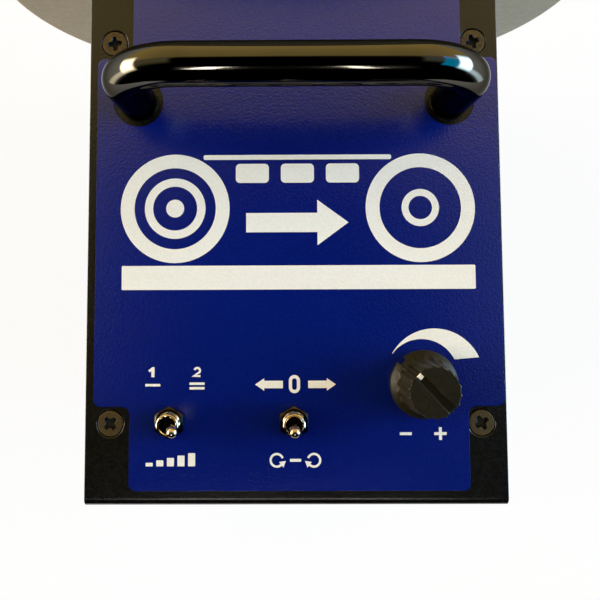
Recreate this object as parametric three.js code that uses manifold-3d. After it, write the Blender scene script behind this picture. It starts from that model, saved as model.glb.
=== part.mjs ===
// A bench-top label rewinder, in millimetres: a black sheet-steel case with a carrying handle and its
// controls on top, and at the far end a motor-driven spindle with a pale guide disc and a core chuck.
// +Z is up, +Y runs along the spindle from the controls to the chuck, and +X is to the operator's right.
import * as THREE from "three";
import { mergeVertices } from "three/addons/utils/BufferGeometryUtils.js";
import Module from "manifold-3d";

const wasm = await Module();
wasm.setup();

// Facets round a circle: holes and small screws, inner turned pieces, outer turned pieces, the disc
const facets = { small: 10, inner: 16, outer: 28, disc: 60 };

// Clearances
const fit = 0.15;
const looseFit = 0.3;
const glueLine = 0.05;

// How far a cutting tool runs past the face that it opens
const past = 1;

// Case
const caseWidth = 120;
const caseDepth = 157;
const caseHeight = 165;
const coverSheet = 2;
const coverBend = 2.6;
const coverCorner = 1.6;
const coverOverhang = 0.5;
const traySheet = 2;
const trayBend = 3;
const trayFlange = 13;
const trayLip = 13;
const rearLipHeight = 20;
const frontPlateThickness = 3;
const frontPlateCorner = 2;

// Rubber feet, each with a stem that snaps into the tray
const footHeight = 9;
const footDiameter = 20;
const footInsetX = 13;
const footInsetY = 14;
const footStem = 5.4;
const footBarb = 8;
const footBarbHeight = 3;
const footTaper = 0.85;

// Screws
const coverScrew = { head: 7.2, shank: 3.6, length: 9 };
const coverScrewInsetX = 7.2;
const coverScrewInsetY = 23.2;
const plateScrew = { head: 7, shank: 3.6, length: 9 };
const frontScrewInsetX = 8;
const frontScrewInsetZ = 16;
const rearScrewInset = 17;
const rearScrewHeight = 10;
const headRim = 0.3;
const recessDepth = 1.3;
const recessWidth = 0.9;

// Printed overlay
const overlayThickness = 0.4;
const overlayWidth = 117;
const overlayNeckWidth = 96.4;
const overlayShift = 0.9;
const overlayMargin = 4.5;
const overlayShoulder = 28;
const overlayCorner = 2;

// Carrying handle
const handleSpacing = 91;
const handleFromFront = 41;
const handleDiameter = 11;
const handleHeight = 35.3;
const handleBend = 17;
const handleHole = 14.4;
const handleBolt = { head: 9, headHeight: 3.2, shank: 5, length: 12 };

// Toggle switches
const switchFromRear = 23.8;
const torqueSwitchX = -35.7;
const directionSwitchX = -0.5;
const switchThrow = 13;
const bushingDiameter = 6.35;
const bushingBore = 4.5;
const bushingBoreDepth = 6;
const bushingHeight = 5.6;
const bushingBevel = 0.4;
const switchNutFlats = 7.9;
const switchNutThickness = 1.9;
const switchBody = { x: 13, y: 12, z: 10 };
const terminalPin = { x: 0.8, y: 2, z: 5, pitchX: 4.2, pitchY: 6 };
const leverPivot = 2.2;
const leverBall = 1.9;
const leverRoot = 1.05;
const leverTip = 1.45;
const leverLength = 13.6;

// Torque knob and its potentiometer
const knobX = 36.2;
const knobFromRear = 34.3;
const knobPointer = 43;
const knobSkirtDiameter = 19.2;
const knobSkirtHeight = 2.6;
const knobBodyDiameter = 15.6;
const knobTopDiameter = 14.2;
const knobHeight = 15.4;
const knobLift = 1;
const knobBevel = 0.8;
const knobFlutes = 18;
const knobFluteDepth = 0.45;
const knobGrooveWidth = 2.2;
const knobGrooveDepth = 0.6;
const potDiameter = 17;
const potThickness = 8.5;
const potBushing = 7;
const potShaft = 6;
const potNutFlats = 10;
const potNutThickness = 2;
const potShaftDepth = 2;
const potLug = { x: 1.6, y: 8, z: 0.8, pitch: 5, drop: 5.5 };
const knobCap = 3;

// Spindle bearings
const spindleDrop = 49;
const shaftDiameter = 12;
const bearingOuter = 28;
const bearingWidth = 8;
const housingWall = 3;
const housingFlange = 50;
const frontFlangeThickness = 5;
const rearFlangeThickness = 3;
const housingScrewCircle = 41;
const housingScrew = { head: 6, shank: 3 };
const frontHousingLength = 16;
const rearHousingLength = 12;
const collarDiameter = 18;
const collarLength = 8;
const shaftProud = 1;

// Drive bracket, gear motor and gears
const bracketFromFront = 45;
const bracketThickness = 3;
const bracketWidth = 104;
const bracketHeight = 139;
const bracketFoot = 22;
const bracketBend = 4;
const bracketPin = 4;
const bracketPinInset = 14;
const gearModule = 1.25;
const gearTeeth = 40;
const pinionTeeth = 16;
const gearWidth = 8;
const gearBacklash = 0.3;
const pressureAngle = 20;
const dedendum = 1.25;
const gearWindows = 4;
const gearHubDiameter = 24;
const gearHubLength = 7;
const gearGap = 14;
const motorDiameter = 36;
const motorLength = 56;
const motorEdge = 1.5;
const motorBoss = { radius: 6, length: 3 };
const motorTab = { x: 11, width: 0.8, depth: 6, height: 5 };
const gearboxDiameter = 37;
const gearboxLength = 27;
const gearboxEdge = 0.6;
const motorScrewCircle = 31;
const motorScrew = { head: 5.5, shank: 2.8 };
const pinionShaft = 6;
const pinionShaftDepth = 6;
const pinionShaftRoom = 2;
const pinionOverlap = 1;

// Guide disc and its hub
const discGap = 13;
const discRadius = 104.5;
const discThickness = 5;
const discRecess = 1;
const discEdge = 0.8;
const hubFlange = 86;
const hubFlangeThickness = 5;
const hubBoss = 28;
const hubStandOff = 1.4;
const spigotReach = 4;

// Core chuck
const chuckFlange = 86;
const chuckFlangeThickness = 5;
const chuckDiameter = 66;
const chuckWall = 4;
const chuckLength = 103;
const chuckScrew = { head: 7.2, shank: 3.6, length: 13 };
const chuckScrewCircle = 76;
const jawCount = 3;
const jawSlotWidth = 14;
const jawSlotStart = 5;
const jawSlotEnd = 7;
const jawProud = 1.5;
const jawShoulderStep = 1.5;
const jawShoulderHeight = 3.6;
const jawNoseWidth = 6;
const jawGrooves = 3;
const jawGroovePitch = 3.6;
const jawGrooveWidth = 1.6;
const jawGrooveDepth = 0.8;
const camBase = 13;
const camLift = 5;
const camSweep = 110;
const camRest = 13;
const camClearance = 0.6;
const camJournal = 16;
const camPilot = 14;

// Chuck knob
const chuckKnobDiameter = 58;
const chuckKnobLobes = 6;
const chuckKnobLobeDepth = 3;
const chuckKnobThickness = 18;
const chuckKnobBore = 6;
const chuckKnobWeb = 4;
const chuckKnobBevel = 2.5;
const chuckKnobGap = 1;
const chuckKnobScrew = { head: 10, shank: 4, length: 12 };

// Electrics
const board = { x: 86, z: 1.6, fromRear: 12, fromBracket: 6, inset: 5 };
const capacitor = { x: [-24, -4], share: 0.8, radius: 8, height: 20 };
const inductor = { x: 24, share: 0.78, width: 22, depth: 14, height: 24 };
const relay = { x: 20, share: 0.48, width: 19, depth: 15.5, height: 15 };
const chip = { x: -16, share: 0.5, width: 18, depth: 8, height: 3.6 };
const terminalStrip = { inset: 10, width: 62, depth: 8, height: 10 };
const solderSink = 0.2;
const standOffHeight = 8;
const standOffDiameter = 6;
const standOffPin = 3;
const inletX = -38;
const inletZ = 40;
const inletBody = 11;
const inletFlange = 15;
const inletSocket = 6.4;
const inletPin = 2;
const inletDepth = 13;
const inletRim = 2;
const inletFloor = 3;
const inletWing = { out: 1.2, depth: 4, height: 4 };
const inletTab = { x: 2.5, width: 2, depth: 5, height: 0.8 };
const ventCount = 7;
const ventPitch = 8;
const ventWidth = 3;
const ventHeight = 30;
const ventZ = 92;
const leadDiameter = 4;
const loomDiameter = 3;
const motorTerminalX = 10;
const inletTerminalX = -26;
const loomTerminalX = -12;
const loomX = -18;
const loomDrop = 51;

// Places worked out from the sizes above
const coverUnder = caseHeight - coverSheet;
const overlayTop = caseHeight + glueLine + overlayThickness;
const trayHalf = caseWidth / 2 - coverOverhang;
const trayTop = coverUnder - fit;
const trayRear = coverBend + fit;
const trayFront = caseDepth - frontPlateThickness - fit;
const floorTop = footHeight + traySheet;
const handleY = caseDepth - handleFromFront;
const spindleZ = caseHeight - spindleDrop;
const pinionZ = spindleZ - (gearModule * (gearTeeth + pinionTeeth)) / 2;
const bracketBack = caseDepth - bracketFromFront;
const bracketFront = bracketBack + bracketThickness;
const rearBearingY = bracketFront + fit + rearHousingLength - bearingWidth;
const frontHousingFace = caseDepth + fit + frontFlangeThickness;
const frontBearingY = frontHousingFace - frontHousingLength;
const gearY = bracketFront + gearGap;
const gearboxFront = bracketBack - fit;
const motorBack = gearboxFront - gearboxLength - fit - motorLength;
const discBack = caseDepth + discGap;
const discFront = discBack + discThickness;
const chuckBack = discFront - discRecess + fit;
const tubeStart = chuckBack + chuckFlangeThickness;
const tubeEnd = tubeStart + chuckLength;
const chuckOuter = chuckDiameter / 2;
const chuckInner = chuckOuter - chuckWall;
const spigotEnd = chuckBack + spigotReach;
const shaftEnd = tubeStart + camPilot;
const jawStart = tubeStart + jawSlotStart + looseFit;
const jawLength = chuckLength - jawSlotStart - jawSlotEnd - 2 * looseFit;
const chuckKnobBack = tubeEnd + chuckKnobGap;
const journalEnd = chuckKnobBack + chuckKnobBore;
const standOffTop = floorTop + standOffHeight;

// Places of what repeats
const bothSides = [-1, 1];
const degrees = THREE.MathUtils.degToRad;
const circlePlaces = (count, diameter, first) =>
  Array.from({ length: count }, (_, i) => {
    const angle = degrees(first + (i * 360) / count);
    return [(diameter / 2) * Math.sin(angle), (diameter / 2) * Math.cos(angle)];
  });
const cornerPlaces = (x, low, high) =>
  bothSides.flatMap((side) => [
    [side * x, low],
    [side * x, high],
  ]);
const coverScrewPlaces = cornerPlaces(
  caseWidth / 2 - coverScrewInsetX,
  coverScrewInsetY,
  caseDepth - coverScrewInsetY,
);
const frontScrewPlaces = cornerPlaces(
  trayHalf - frontScrewInsetX,
  footHeight + frontScrewInsetZ,
  trayTop - frontScrewInsetZ,
);
const rearScrewPlaces = bothSides.map((side) => [
  side * (trayHalf - rearScrewInset),
  footHeight + rearScrewHeight,
]);
const footPlaces = cornerPlaces(caseWidth / 2 - footInsetX, footInsetY, caseDepth - footInsetY);
const handlePlaces = bothSides.map((side) => [(side * handleSpacing) / 2, handleY]);
const boardFront = bracketBack - bracketFoot - board.fromBracket;
const boardDepth = boardFront - board.fromRear;
const standOffPlaces = cornerPlaces(
  board.x / 2 - board.inset,
  board.fromRear + board.inset,
  boardFront - board.inset,
);
const bracketPinPlaces = bothSides.map((side) => [
  side * (bracketWidth / 2 - bracketPinInset),
  bracketBack - bracketFoot / 2,
]);
const housingScrewPlaces = circlePlaces(4, housingScrewCircle, 45);
const motorScrewPlaces = circlePlaces(3, motorScrewCircle, 60);
const chuckScrewPlaces = circlePlaces(jawCount, chuckScrewCircle, 180 / jawCount);
const jawAngles = Array.from({ length: jawCount }, (_, i) => (i * 2 * Math.PI) / jawCount);

// Finishes
const finish = (color, roughness, metalness) =>
  new THREE.MeshStandardMaterial({ color, roughness, metalness });
const blackPaint = finish(0x17160f, 0.55, 0.2);
const blueOverlay = finish(0x141f5e, 0.45, 0);
const darkChrome = finish(0x3a3833, 0.12, 1);
const nickel = finish(0xb9b4aa, 0.22, 1);
const zinc = finish(0x8d8c86, 0.4, 0.9);
const blackScrew = finish(0x2b2720, 0.45, 0.7);
const blackPlastic = finish(0x15150f, 0.5, 0);
const palePlastic = finish(0xd6d3c8, 0.5, 0);
const steel = finish(0x9a9c9e, 0.35, 1);
const aluminium = finish(0xc2c4c6, 0.4, 0.9);
const rubber = finish(0x1a1a1a, 0.9, 0);
const nylon = finish(0xe4e0d2, 0.6, 0);
const brass = finish(0xb08d4a, 0.35, 0.9);
const boardGreen = finish(0x1c5a34, 0.6, 0);
const redCable = finish(0x9c1f1b, 0.6, 0);
const blackCable = finish(0x202020, 0.7, 0);

// Joining and cutting
function toSolid(geometry) {
  const source = geometry.index ? geometry.toNonIndexed() : geometry;
  const bare = new THREE.BufferGeometry().setAttribute("position", source.getAttribute("position"));
  const merged = mergeVertices(bare, 1e-4);
  return new wasm.Manifold(
    new wasm.Mesh({
      numProp: 3,
      vertProperties: merged.attributes.position.array,
      triVerts: new Uint32Array(merged.index.array),
    }),
  );
}

function toGeometry(solid) {
  const mesh = solid.getMesh();
  const geometry = new THREE.BufferGeometry();
  const corners = new Float32Array(mesh.vertProperties);
  geometry.setAttribute("position", new THREE.BufferAttribute(corners, 3));
  geometry.setIndex(new THREE.BufferAttribute(new Uint32Array(mesh.triVerts), 1));
  geometry.computeVertexNormals();
  return geometry;
}

const join = (...pieces) => toGeometry(pieces.map(toSolid).reduce((a, b) => a.add(b)));
const cut = (piece, ...tools) =>
  toGeometry(tools.map(toSolid).reduce((a, b) => a.subtract(b), toSolid(piece)));
const common = (a, b) => toGeometry(toSolid(a).intersect(toSolid(b)));

// Blocks and rods: a block stands on its z, a rod starts at the place given
const block = (x, y, z, width, depth, height) =>
  new THREE.BoxGeometry(width, depth, height).translate(x, y, z + height / 2);

const rodUp = (x, y, z, radius, height, sides = facets.small) =>
  new THREE.CylinderGeometry(radius, radius, height, sides)
    .rotateX(Math.PI / 2)
    .translate(x, y, z + height / 2);

const rodAlong = (x, y, z, radius, length, sides = facets.small) =>
  new THREE.CylinderGeometry(radius, radius, length, sides).translate(x, y + length / 2, z);

// The tools for round holes: their facets lie outside the circle, so that what fits the circle passes
const roundOut = (radius, sides) => radius / Math.cos(Math.PI / sides);
const boreUp = (x, y, z, radius, length, sides = facets.small) =>
  rodUp(x, y, z, roundOut(radius, sides), length, sides);
const boreAlong = (x, y, z, radius, length, sides = facets.small) =>
  rodAlong(x, y, z, roundOut(radius, sides), length, sides);

// Turned pieces, from radius and distance pairs: about the Y axis, or stood up about the Z axis
const turnedAlong = (points, sides = facets.outer) =>
  new THREE.LatheGeometry(
    points.map(([radius, along]) => new THREE.Vector2(radius, along)),
    sides,
  );
const turnedUp = (points, sides = facets.small) => turnedAlong(points, sides).rotateX(Math.PI / 2);

// A ring about the Y axis, between two radii
const ringAlong = (inner, outer, start, length, sides = facets.inner) =>
  turnedAlong(
    [
      [inner, start],
      [outer, start],
      [outer, start + length],
      [inner, start + length],
      [inner, start],
    ],
    sides,
  );

// Outlines pulled to a solid: one in X and Z along +Y, one in X and Y upwards, one in Y and Z across X
const pull = (shape, length) =>
  new THREE.ExtrudeGeometry(shape, { depth: length, bevelEnabled: false, curveSegments: 3 });

const pullAlong = (shape, start, length) =>
  pull(shape, length)
    .rotateX(Math.PI / 2)
    .translate(0, start + length, 0);

const pullUp = (shape, start, height) => pull(shape, height).translate(0, 0, start);

const pullAcross = (shape, width) =>
  pull(shape, width)
    .translate(0, 0, -width / 2)
    .rotateY(Math.PI / 2)
    .rotateX(Math.PI / 2);

function roundedRectangle(x0, y0, x1, y1, radius) {
  const shape = new THREE.Shape();
  shape.moveTo(x0 + radius, y0);
  shape.lineTo(x1 - radius, y0);
  shape.absarc(x1 - radius, y0 + radius, radius, -Math.PI / 2, 0);
  shape.lineTo(x1, y1 - radius);
  shape.absarc(x1 - radius, y1 - radius, radius, 0, Math.PI / 2);
  shape.lineTo(x0 + radius, y1);
  shape.absarc(x0 + radius, y1 - radius, radius, Math.PI / 2, Math.PI);
  shape.lineTo(x0, y0 + radius);
  shape.absarc(x0 + radius, y0 + radius, radius, Math.PI, Math.PI * 1.5);
  return shape;
}

function hexagon(flats) {
  const radius = flats / Math.sqrt(3);
  const corners = [0, 1, 2, 3, 4, 5].map((i) => (i * Math.PI) / 3);
  const points = corners.map((a) => new THREE.Vector2(radius * Math.cos(a), radius * Math.sin(a)));
  return new THREE.Shape(points);
}

// The corners of an open line made round, with arcs of one radius
function roundLine(points, radius, steps = 3) {
  const out = [points[0]];
  for (let i = 1; i < points.length - 1; i += 1) {
    const into = points[i].clone().sub(points[i - 1]).normalize();
    const away = points[i + 1].clone().sub(points[i]).normalize();
    const turn = Math.atan2(into.x * away.y - into.y * away.x, into.dot(away));
    const start = points[i].clone().addScaledVector(into, -radius * Math.tan(Math.abs(turn) / 2));
    const across = new THREE.Vector2(-into.y, into.x).multiplyScalar(Math.sign(turn) * radius);
    const centre = start.clone().add(across);
    for (let k = 0; k <= steps; k += 1) {
      out.push(start.clone().rotateAround(centre, (turn * k) / steps));
    }
  }
  out.push(points[points.length - 1]);
  return out;
}

// An open line moved to its left, with mitred corners
function offsetLine(points, distance) {
  const leftOf = (a, b) => {
    const d = b.clone().sub(a).normalize();
    return new THREE.Vector2(-d.y, d.x);
  };
  return points.map((p, i) => {
    const before = leftOf(points[Math.max(i - 1, 0)], points[Math.max(i, 1)]);
    const after = i < points.length - 1 ? leftOf(p, points[i + 1]) : before;
    const middle = before.clone().add(after);
    return p.clone().addScaledVector(middle, (2 * distance) / middle.lengthSq());
  });
}

// The section of a folded sheet, from the corners of its outer face: the sheet lies to their left
function foldedSheet(corners, thickness, bend) {
  const outer = corners.map(([x, y]) => new THREE.Vector2(x, y));
  const inner = offsetLine(outer, thickness);
  return new THREE.Shape([...roundLine(outer, bend), ...roundLine(inner, bend - thickness).reverse()]);
}

// Everything hangs on the machine, and what shares an axis has a group of its own
const machine = new THREE.Group();
const spindle = new THREE.Group();
spindle.position.set(0, 0, spindleZ);
const pinionAxis = new THREE.Group();
pinionAxis.position.set(0, 0, pinionZ);
const panel = new THREE.Group();
panel.position.set(0, 0, overlayTop);
machine.add(spindle, pinionAxis, panel);

function add(parent, name, geometry, material) {
  const mesh = new THREE.Mesh(geometry, material);
  mesh.name = name;
  parent.add(mesh);
  return mesh;
}

// Screws, standing head up with the seat of the head's top (countersunk) or underside (pan) at zero
function crossRecess(top, size) {
  const arm = size / 2;
  return join(
    block(0, 0, top - recessDepth, arm, recessWidth, recessDepth + past),
    block(0, 0, top - recessDepth, recessWidth, arm, recessDepth + past),
  );
}

function countersunkScrew({ head, shank, length }) {
  const cone = (head - shank) / 2;
  const body = turnedUp(
    [
      [0, -length],
      [shank / 2, -length],
      [shank / 2, -headRim - cone],
      [head / 2, -headRim],
      [head / 2, 0],
      [0, 0],
    ],
    facets.inner,
  );
  return cut(body, crossRecess(0, head));
}

const panHeight = (head) => head * 0.32;

function panScrew({ head, shank, length }) {
  const height = panHeight(head);
  const body = turnedUp([
    [0, -length],
    [shank / 2, -length],
    [shank / 2, 0],
    [head / 2, 0],
    [head * 0.46, height * 0.6],
    [head * 0.3, height],
    [0, height],
  ]);
  return cut(body, crossRecess(height, head * 0.9));
}

// A screw that is one piece with what it holds: a plain head, turned as one with its shank, facing front
const heldScrew = ({ head, shank }, x, y, z, length) =>
  turnedAlong(
    [
      [0, -length],
      [shank / 2, -length],
      [shank / 2, 0],
      [head / 2, 0],
      [head / 2, panHeight(head)],
      [0, panHeight(head)],
    ],
    facets.small,
  ).translate(x, y, z);

// What a countersunk screw needs in the piece that its head sits in
function countersink({ head, shank, length }) {
  const cone = (head - shank) / 2;
  return turnedUp(
    [
      [0, -length - past],
      [shank / 2 + looseFit, -length - past],
      [shank / 2 + looseFit, -headRim - cone - looseFit],
      [head / 2 + looseFit, -headRim - looseFit],
      [head / 2 + looseFit, past],
      [0, past],
    ],
    facets.inner,
  );
}

const facingFront = (geometry) => geometry.clone().rotateX(-Math.PI / 2);
const facingRear = (geometry) => geometry.clone().rotateX(Math.PI / 2);

// Top cover: one sheet, folded down over the operator's end to make the rear wall
function makeTopCover() {
  const section = foldedSheet(
    [
      [caseDepth, caseHeight],
      [0, caseHeight],
      [0, footHeight + fit],
    ],
    coverSheet,
    coverBend,
  );
  const plan = roundedRectangle(-caseWidth / 2, 0, caseWidth / 2, caseDepth, coverCorner);
  const sheet = common(pullAcross(section, caseWidth), pullUp(plan, 0, caseHeight + past));
  const through = coverSheet + 2 * past;
  const holeUp = (x, y, diameter, room) =>
    boreUp(x, y, coverUnder - past, diameter / 2 + room, through);
  const holes = [
    ...coverScrewPlaces.map(([x, y]) => countersink(coverScrew).translate(x, y, caseHeight)),
    ...handlePlaces.map(([x, y]) => holeUp(x, y, handleBolt.shank, looseFit)),
    ...[torqueSwitchX, directionSwitchX].map((x) => holeUp(x, switchFromRear, bushingDiameter, fit)),
    holeUp(knobX, knobFromRear, potBushing, fit),
    ...rearScrewPlaces.map(([x, z]) => boreAlong(x, -past, z, plateScrew.shank / 2 + looseFit, through)),
    boreAlong(inletX, -past, inletZ, inletBody / 2 + fit, through),
    ...Array.from({ length: ventCount }, (_, i) =>
      block((i - (ventCount - 1) / 2) * ventPitch, coverSheet / 2, ventZ, ventWidth, through, ventHeight),
    ),
  ];
  return cut(sheet, ...holes);
}
add(machine, "top_cover", makeTopCover(), blackPaint);

// Chassis tray: floor, side walls and top flanges in one fold, with lips for the end walls
function makeChassisTray() {
  const section = foldedSheet(
    [
      [-trayHalf + trayFlange, trayTop],
      [-trayHalf, trayTop],
      [-trayHalf, footHeight],
      [trayHalf, footHeight],
      [trayHalf, trayTop],
      [trayHalf - trayFlange, trayTop],
    ],
    traySheet,
    trayBend,
  );
  const channel = pullAlong(section, trayRear, trayFront - trayRear);
  const lipX = trayHalf - traySheet / 2 - trayLip / 2;
  const lipZ = footHeight + trayBend;
  const frontLips = bothSides.map((side) =>
    block(side * lipX, trayFront - traySheet / 2, lipZ, trayLip, traySheet, trayTop - trayBend - lipZ),
  );
  const rearLip = block(
    0,
    trayRear + traySheet / 2,
    footHeight + traySheet / 2,
    2 * (trayHalf - trayBend),
    traySheet,
    rearLipHeight,
  );
  const through = traySheet + 2 * past;
  const bores = (places, diameter, room, z) =>
    places.map(([x, y]) => boreUp(x, y, z - past, diameter / 2 + room, through));
  const boresAlong = (places, diameter, y) =>
    places.map(([x, z]) => boreAlong(x, y - past, z, diameter / 2 + fit, through));
  const holes = [
    ...bores(coverScrewPlaces, coverScrew.shank, fit, trayTop - traySheet),
    ...bores(handlePlaces, handleBolt.head, past, trayTop - traySheet),
    ...boresAlong(frontScrewPlaces, plateScrew.shank, trayFront - traySheet),
    ...boresAlong(rearScrewPlaces, plateScrew.shank, trayRear),
    ...bores(footPlaces, footStem, fit, footHeight),
    ...bores(standOffPlaces, standOffPin, fit, footHeight),
    ...bores(bracketPinPlaces, bracketPin, fit, footHeight),
  ];
  return cut(join(channel, ...frontLips, rearLip), ...holes);
}
add(machine, "chassis_tray", makeChassisTray(), blackPaint);

// Front plate: closes the case below the cover and carries the front bearing housing
function makeFrontPlate() {
  const outline = roundedRectangle(-trayHalf, footHeight, trayHalf, trayTop, frontPlateCorner);
  const start = caseDepth - frontPlateThickness;
  const through = frontPlateThickness + 2 * past;
  const hole = (x, z, radius, sides) => boreAlong(x, start - past, z, radius, through, sides);
  return cut(
    pullAlong(outline, start, frontPlateThickness),
    hole(0, spindleZ, bearingOuter / 2 + housingWall + fit, facets.outer),
    ...frontScrewPlaces.map(([x, z]) => hole(x, z, plateScrew.shank / 2 + looseFit)),
    ...housingScrewPlaces.map(([x, z]) => hole(x, spindleZ + z, housingScrew.shank / 2 + fit)),
  );
}
add(machine, "front_plate", makeFrontPlate(), blackPaint);

// Screws of the case
coverScrewPlaces.forEach(([x, y], i) => {
  const screw = add(machine, `cover_screw_${i + 1}`, countersunkScrew(coverScrew), blackScrew);
  screw.position.set(x, y, caseHeight);
});
frontScrewPlaces.forEach(([x, z], i) => {
  const screw = add(machine, `front_plate_screw_${i + 1}`, facingFront(panScrew(plateScrew)), blackScrew);
  screw.position.set(x, caseDepth + fit, z);
});
rearScrewPlaces.forEach(([x, z], i) => {
  const screw = add(machine, `rear_wall_screw_${i + 1}`, facingRear(panScrew(plateScrew)), blackScrew);
  screw.position.set(x, -fit, z);
});

// Rubber feet
function makeFoot() {
  const radius = footDiameter / 2;
  const stem = footStem / 2;
  const seat = footHeight - fit;
  const barbStart = floorTop + fit;
  const barbEnd = barbStart + footBarbHeight;
  return turnedUp(
    [
      [0, 0],
      [radius * footTaper, 0],
      [radius, seat],
      [stem, seat],
      [stem, barbStart],
      [footBarb / 2, barbStart],
      [stem * footTaper, barbEnd],
      [0, barbEnd],
    ],
    facets.inner,
  );
}
footPlaces.forEach(([x, y], i) => {
  add(machine, `foot_${i + 1}`, makeFoot(), rubber).position.set(x, y, 0);
});

// Printed overlay: wide in the middle, narrow where it passes the cover's screws
function makeOverlay() {
  const wide = overlayWidth / 2;
  const neck = overlayNeckWidth / 2;
  const strip = (half, inset) =>
    roundedRectangle(-half, inset, half, caseDepth - inset, overlayCorner);
  const field = strip(wide, overlayShoulder);
  const column = strip(neck, overlayMargin);
  const sheet = join(pullUp(field, 0, overlayThickness), pullUp(column, 0, overlayThickness));
  sheet.translate(overlayShift, 0, caseHeight + glueLine);
  const through = overlayThickness + glueLine + 2 * past;
  const hole = (x, y, diameter, sides) =>
    boreUp(x, y, caseHeight - past, diameter / 2, through, sides);
  return cut(
    sheet,
    ...handlePlaces.map(([x, y]) => hole(x, y, handleHole, facets.inner)),
    ...[torqueSwitchX, directionSwitchX].map((x) => hole(x, switchFromRear, bushingDiameter + 2 * fit)),
    hole(knobX, knobFromRear, potBushing + 2 * fit),
  );
}
add(machine, "panel_overlay", makeOverlay(), blueOverlay);

// Carrying handle: a round bar with two bends, standing on the cover. A Bezier curve with handles of
// this share of its radius draws a quarter circle.
const quarterArc = 0.5523;

function makeHandle() {
  const half = handleSpacing / 2;
  const low = caseHeight + fit;
  const high = overlayTop + handleHeight;
  const pullIn = quarterArc * handleBend;
  const at = (x, z) => new THREE.Vector3(x, handleY, z);
  const route = new THREE.CurvePath();
  route.add(new THREE.LineCurve3(at(-half, low), at(-half, high - handleBend)));
  route.add(
    new THREE.CubicBezierCurve3(
      at(-half, high - handleBend),
      at(-half, high - handleBend + pullIn),
      at(-half + handleBend - pullIn, high),
      at(-half + handleBend, high),
    ),
  );
  route.add(new THREE.LineCurve3(at(-half + handleBend, high), at(half - handleBend, high)));
  route.add(
    new THREE.CubicBezierCurve3(
      at(half - handleBend, high),
      at(half - handleBend + pullIn, high),
      at(half, high - handleBend + pullIn),
      at(half, high - handleBend),
    ),
  );
  route.add(new THREE.LineCurve3(at(half, high - handleBend), at(half, low)));
  const section = new THREE.Shape().absarc(0, 0, handleDiameter / 2, 0, Math.PI * 2);
  const bar = new THREE.ExtrudeGeometry(section, { steps: 26, curveSegments: 8, extrudePath: route });
  const boreDepth = handleBolt.length - coverSheet;
  const bores = handlePlaces.map(([x, y]) =>
    boreUp(x, y, low - past, handleBolt.shank / 2 + fit, boreDepth + 2 * past),
  );
  return cut(bar, ...bores);
}
add(machine, "carry_handle", makeHandle(), darkChrome);

const handleBoltShape = turnedUp([
  [0, -handleBolt.headHeight],
  [handleBolt.head / 2, -handleBolt.headHeight],
  [handleBolt.head / 2, 0],
  [handleBolt.shank / 2, 0],
  [handleBolt.shank / 2, handleBolt.length],
  [0, handleBolt.length],
]);
handlePlaces.forEach(([x, y], i) => {
  add(machine, `handle_bolt_${i + 1}`, handleBoltShape, zinc).position.set(x, y, coverUnder - fit);
});

// Toggle switches: the case hangs under the cover, its bushing comes up through panel and nut
function makeSwitchCase() {
  const top = coverUnder - fit - overlayTop;
  const bushing = turnedUp([
    [0, top - past],
    [bushingDiameter / 2, top - past],
    [bushingDiameter / 2, bushingHeight - bushingBevel],
    [bushingDiameter / 2 - bushingBevel, bushingHeight],
    [bushingBore / 2, bushingHeight],
    [bushingBore / 2, bushingHeight - bushingBoreDepth],
    [0, bushingHeight - bushingBoreDepth],
  ]);
  const body = block(0, 0, top - switchBody.z, switchBody.x, switchBody.y, switchBody.z);
  const pins = [-1, 0, 1].flatMap((i) =>
    bothSides.map((j) =>
      block(
        i * terminalPin.pitchX,
        (j * terminalPin.pitchY) / 2,
        top - switchBody.z - terminalPin.z,
        terminalPin.x,
        terminalPin.y,
        terminalPin.z + past,
      ),
    ),
  );
  return join(body, bushing, ...pins);
}

const panelNut = (flats, thickness, hole) =>
  cut(
    pullUp(hexagon(flats), fit, thickness),
    boreUp(0, 0, -past, hole / 2 + fit, thickness + fit + 2 * past),
  );

// The lever: a ball in the bushing, a round bat that widens to its rounded tip
function makeLever() {
  const neckAngle = Math.acos(leverRoot / leverBall);
  const arc = (centre, radius, from, to, steps) =>
    Array.from({ length: steps + 1 }, (_, i) => {
      const angle = from + ((to - from) * i) / steps;
      return [Math.max(radius * Math.cos(angle), 0), centre + radius * Math.sin(angle)];
    });
  const profile = [
    ...arc(0, leverBall, -Math.PI / 2, neckAngle, 5),
    ...arc(leverLength - leverTip, leverTip, 0, Math.PI / 2, 3),
  ];
  return turnedUp(profile);
}

function addSwitch(name, x, restAngle) {
  const group = new THREE.Group();
  group.position.set(x, switchFromRear, 0);
  panel.add(group);
  add(group, `${name}_switch_case`, makeSwitchCase(), nickel);
  add(group, `${name}_switch_nut`, panelNut(switchNutFlats, switchNutThickness, bushingDiameter), nickel);
  const lever = add(group, `${name}_switch_lever`, makeLever(), nickel);
  lever.position.z = leverPivot;
  lever.rotation.y = degrees(restAngle);
}
addSwitch("torque", torqueSwitchX, switchThrow);
addSwitch("direction", directionSwitchX, 0);

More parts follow.
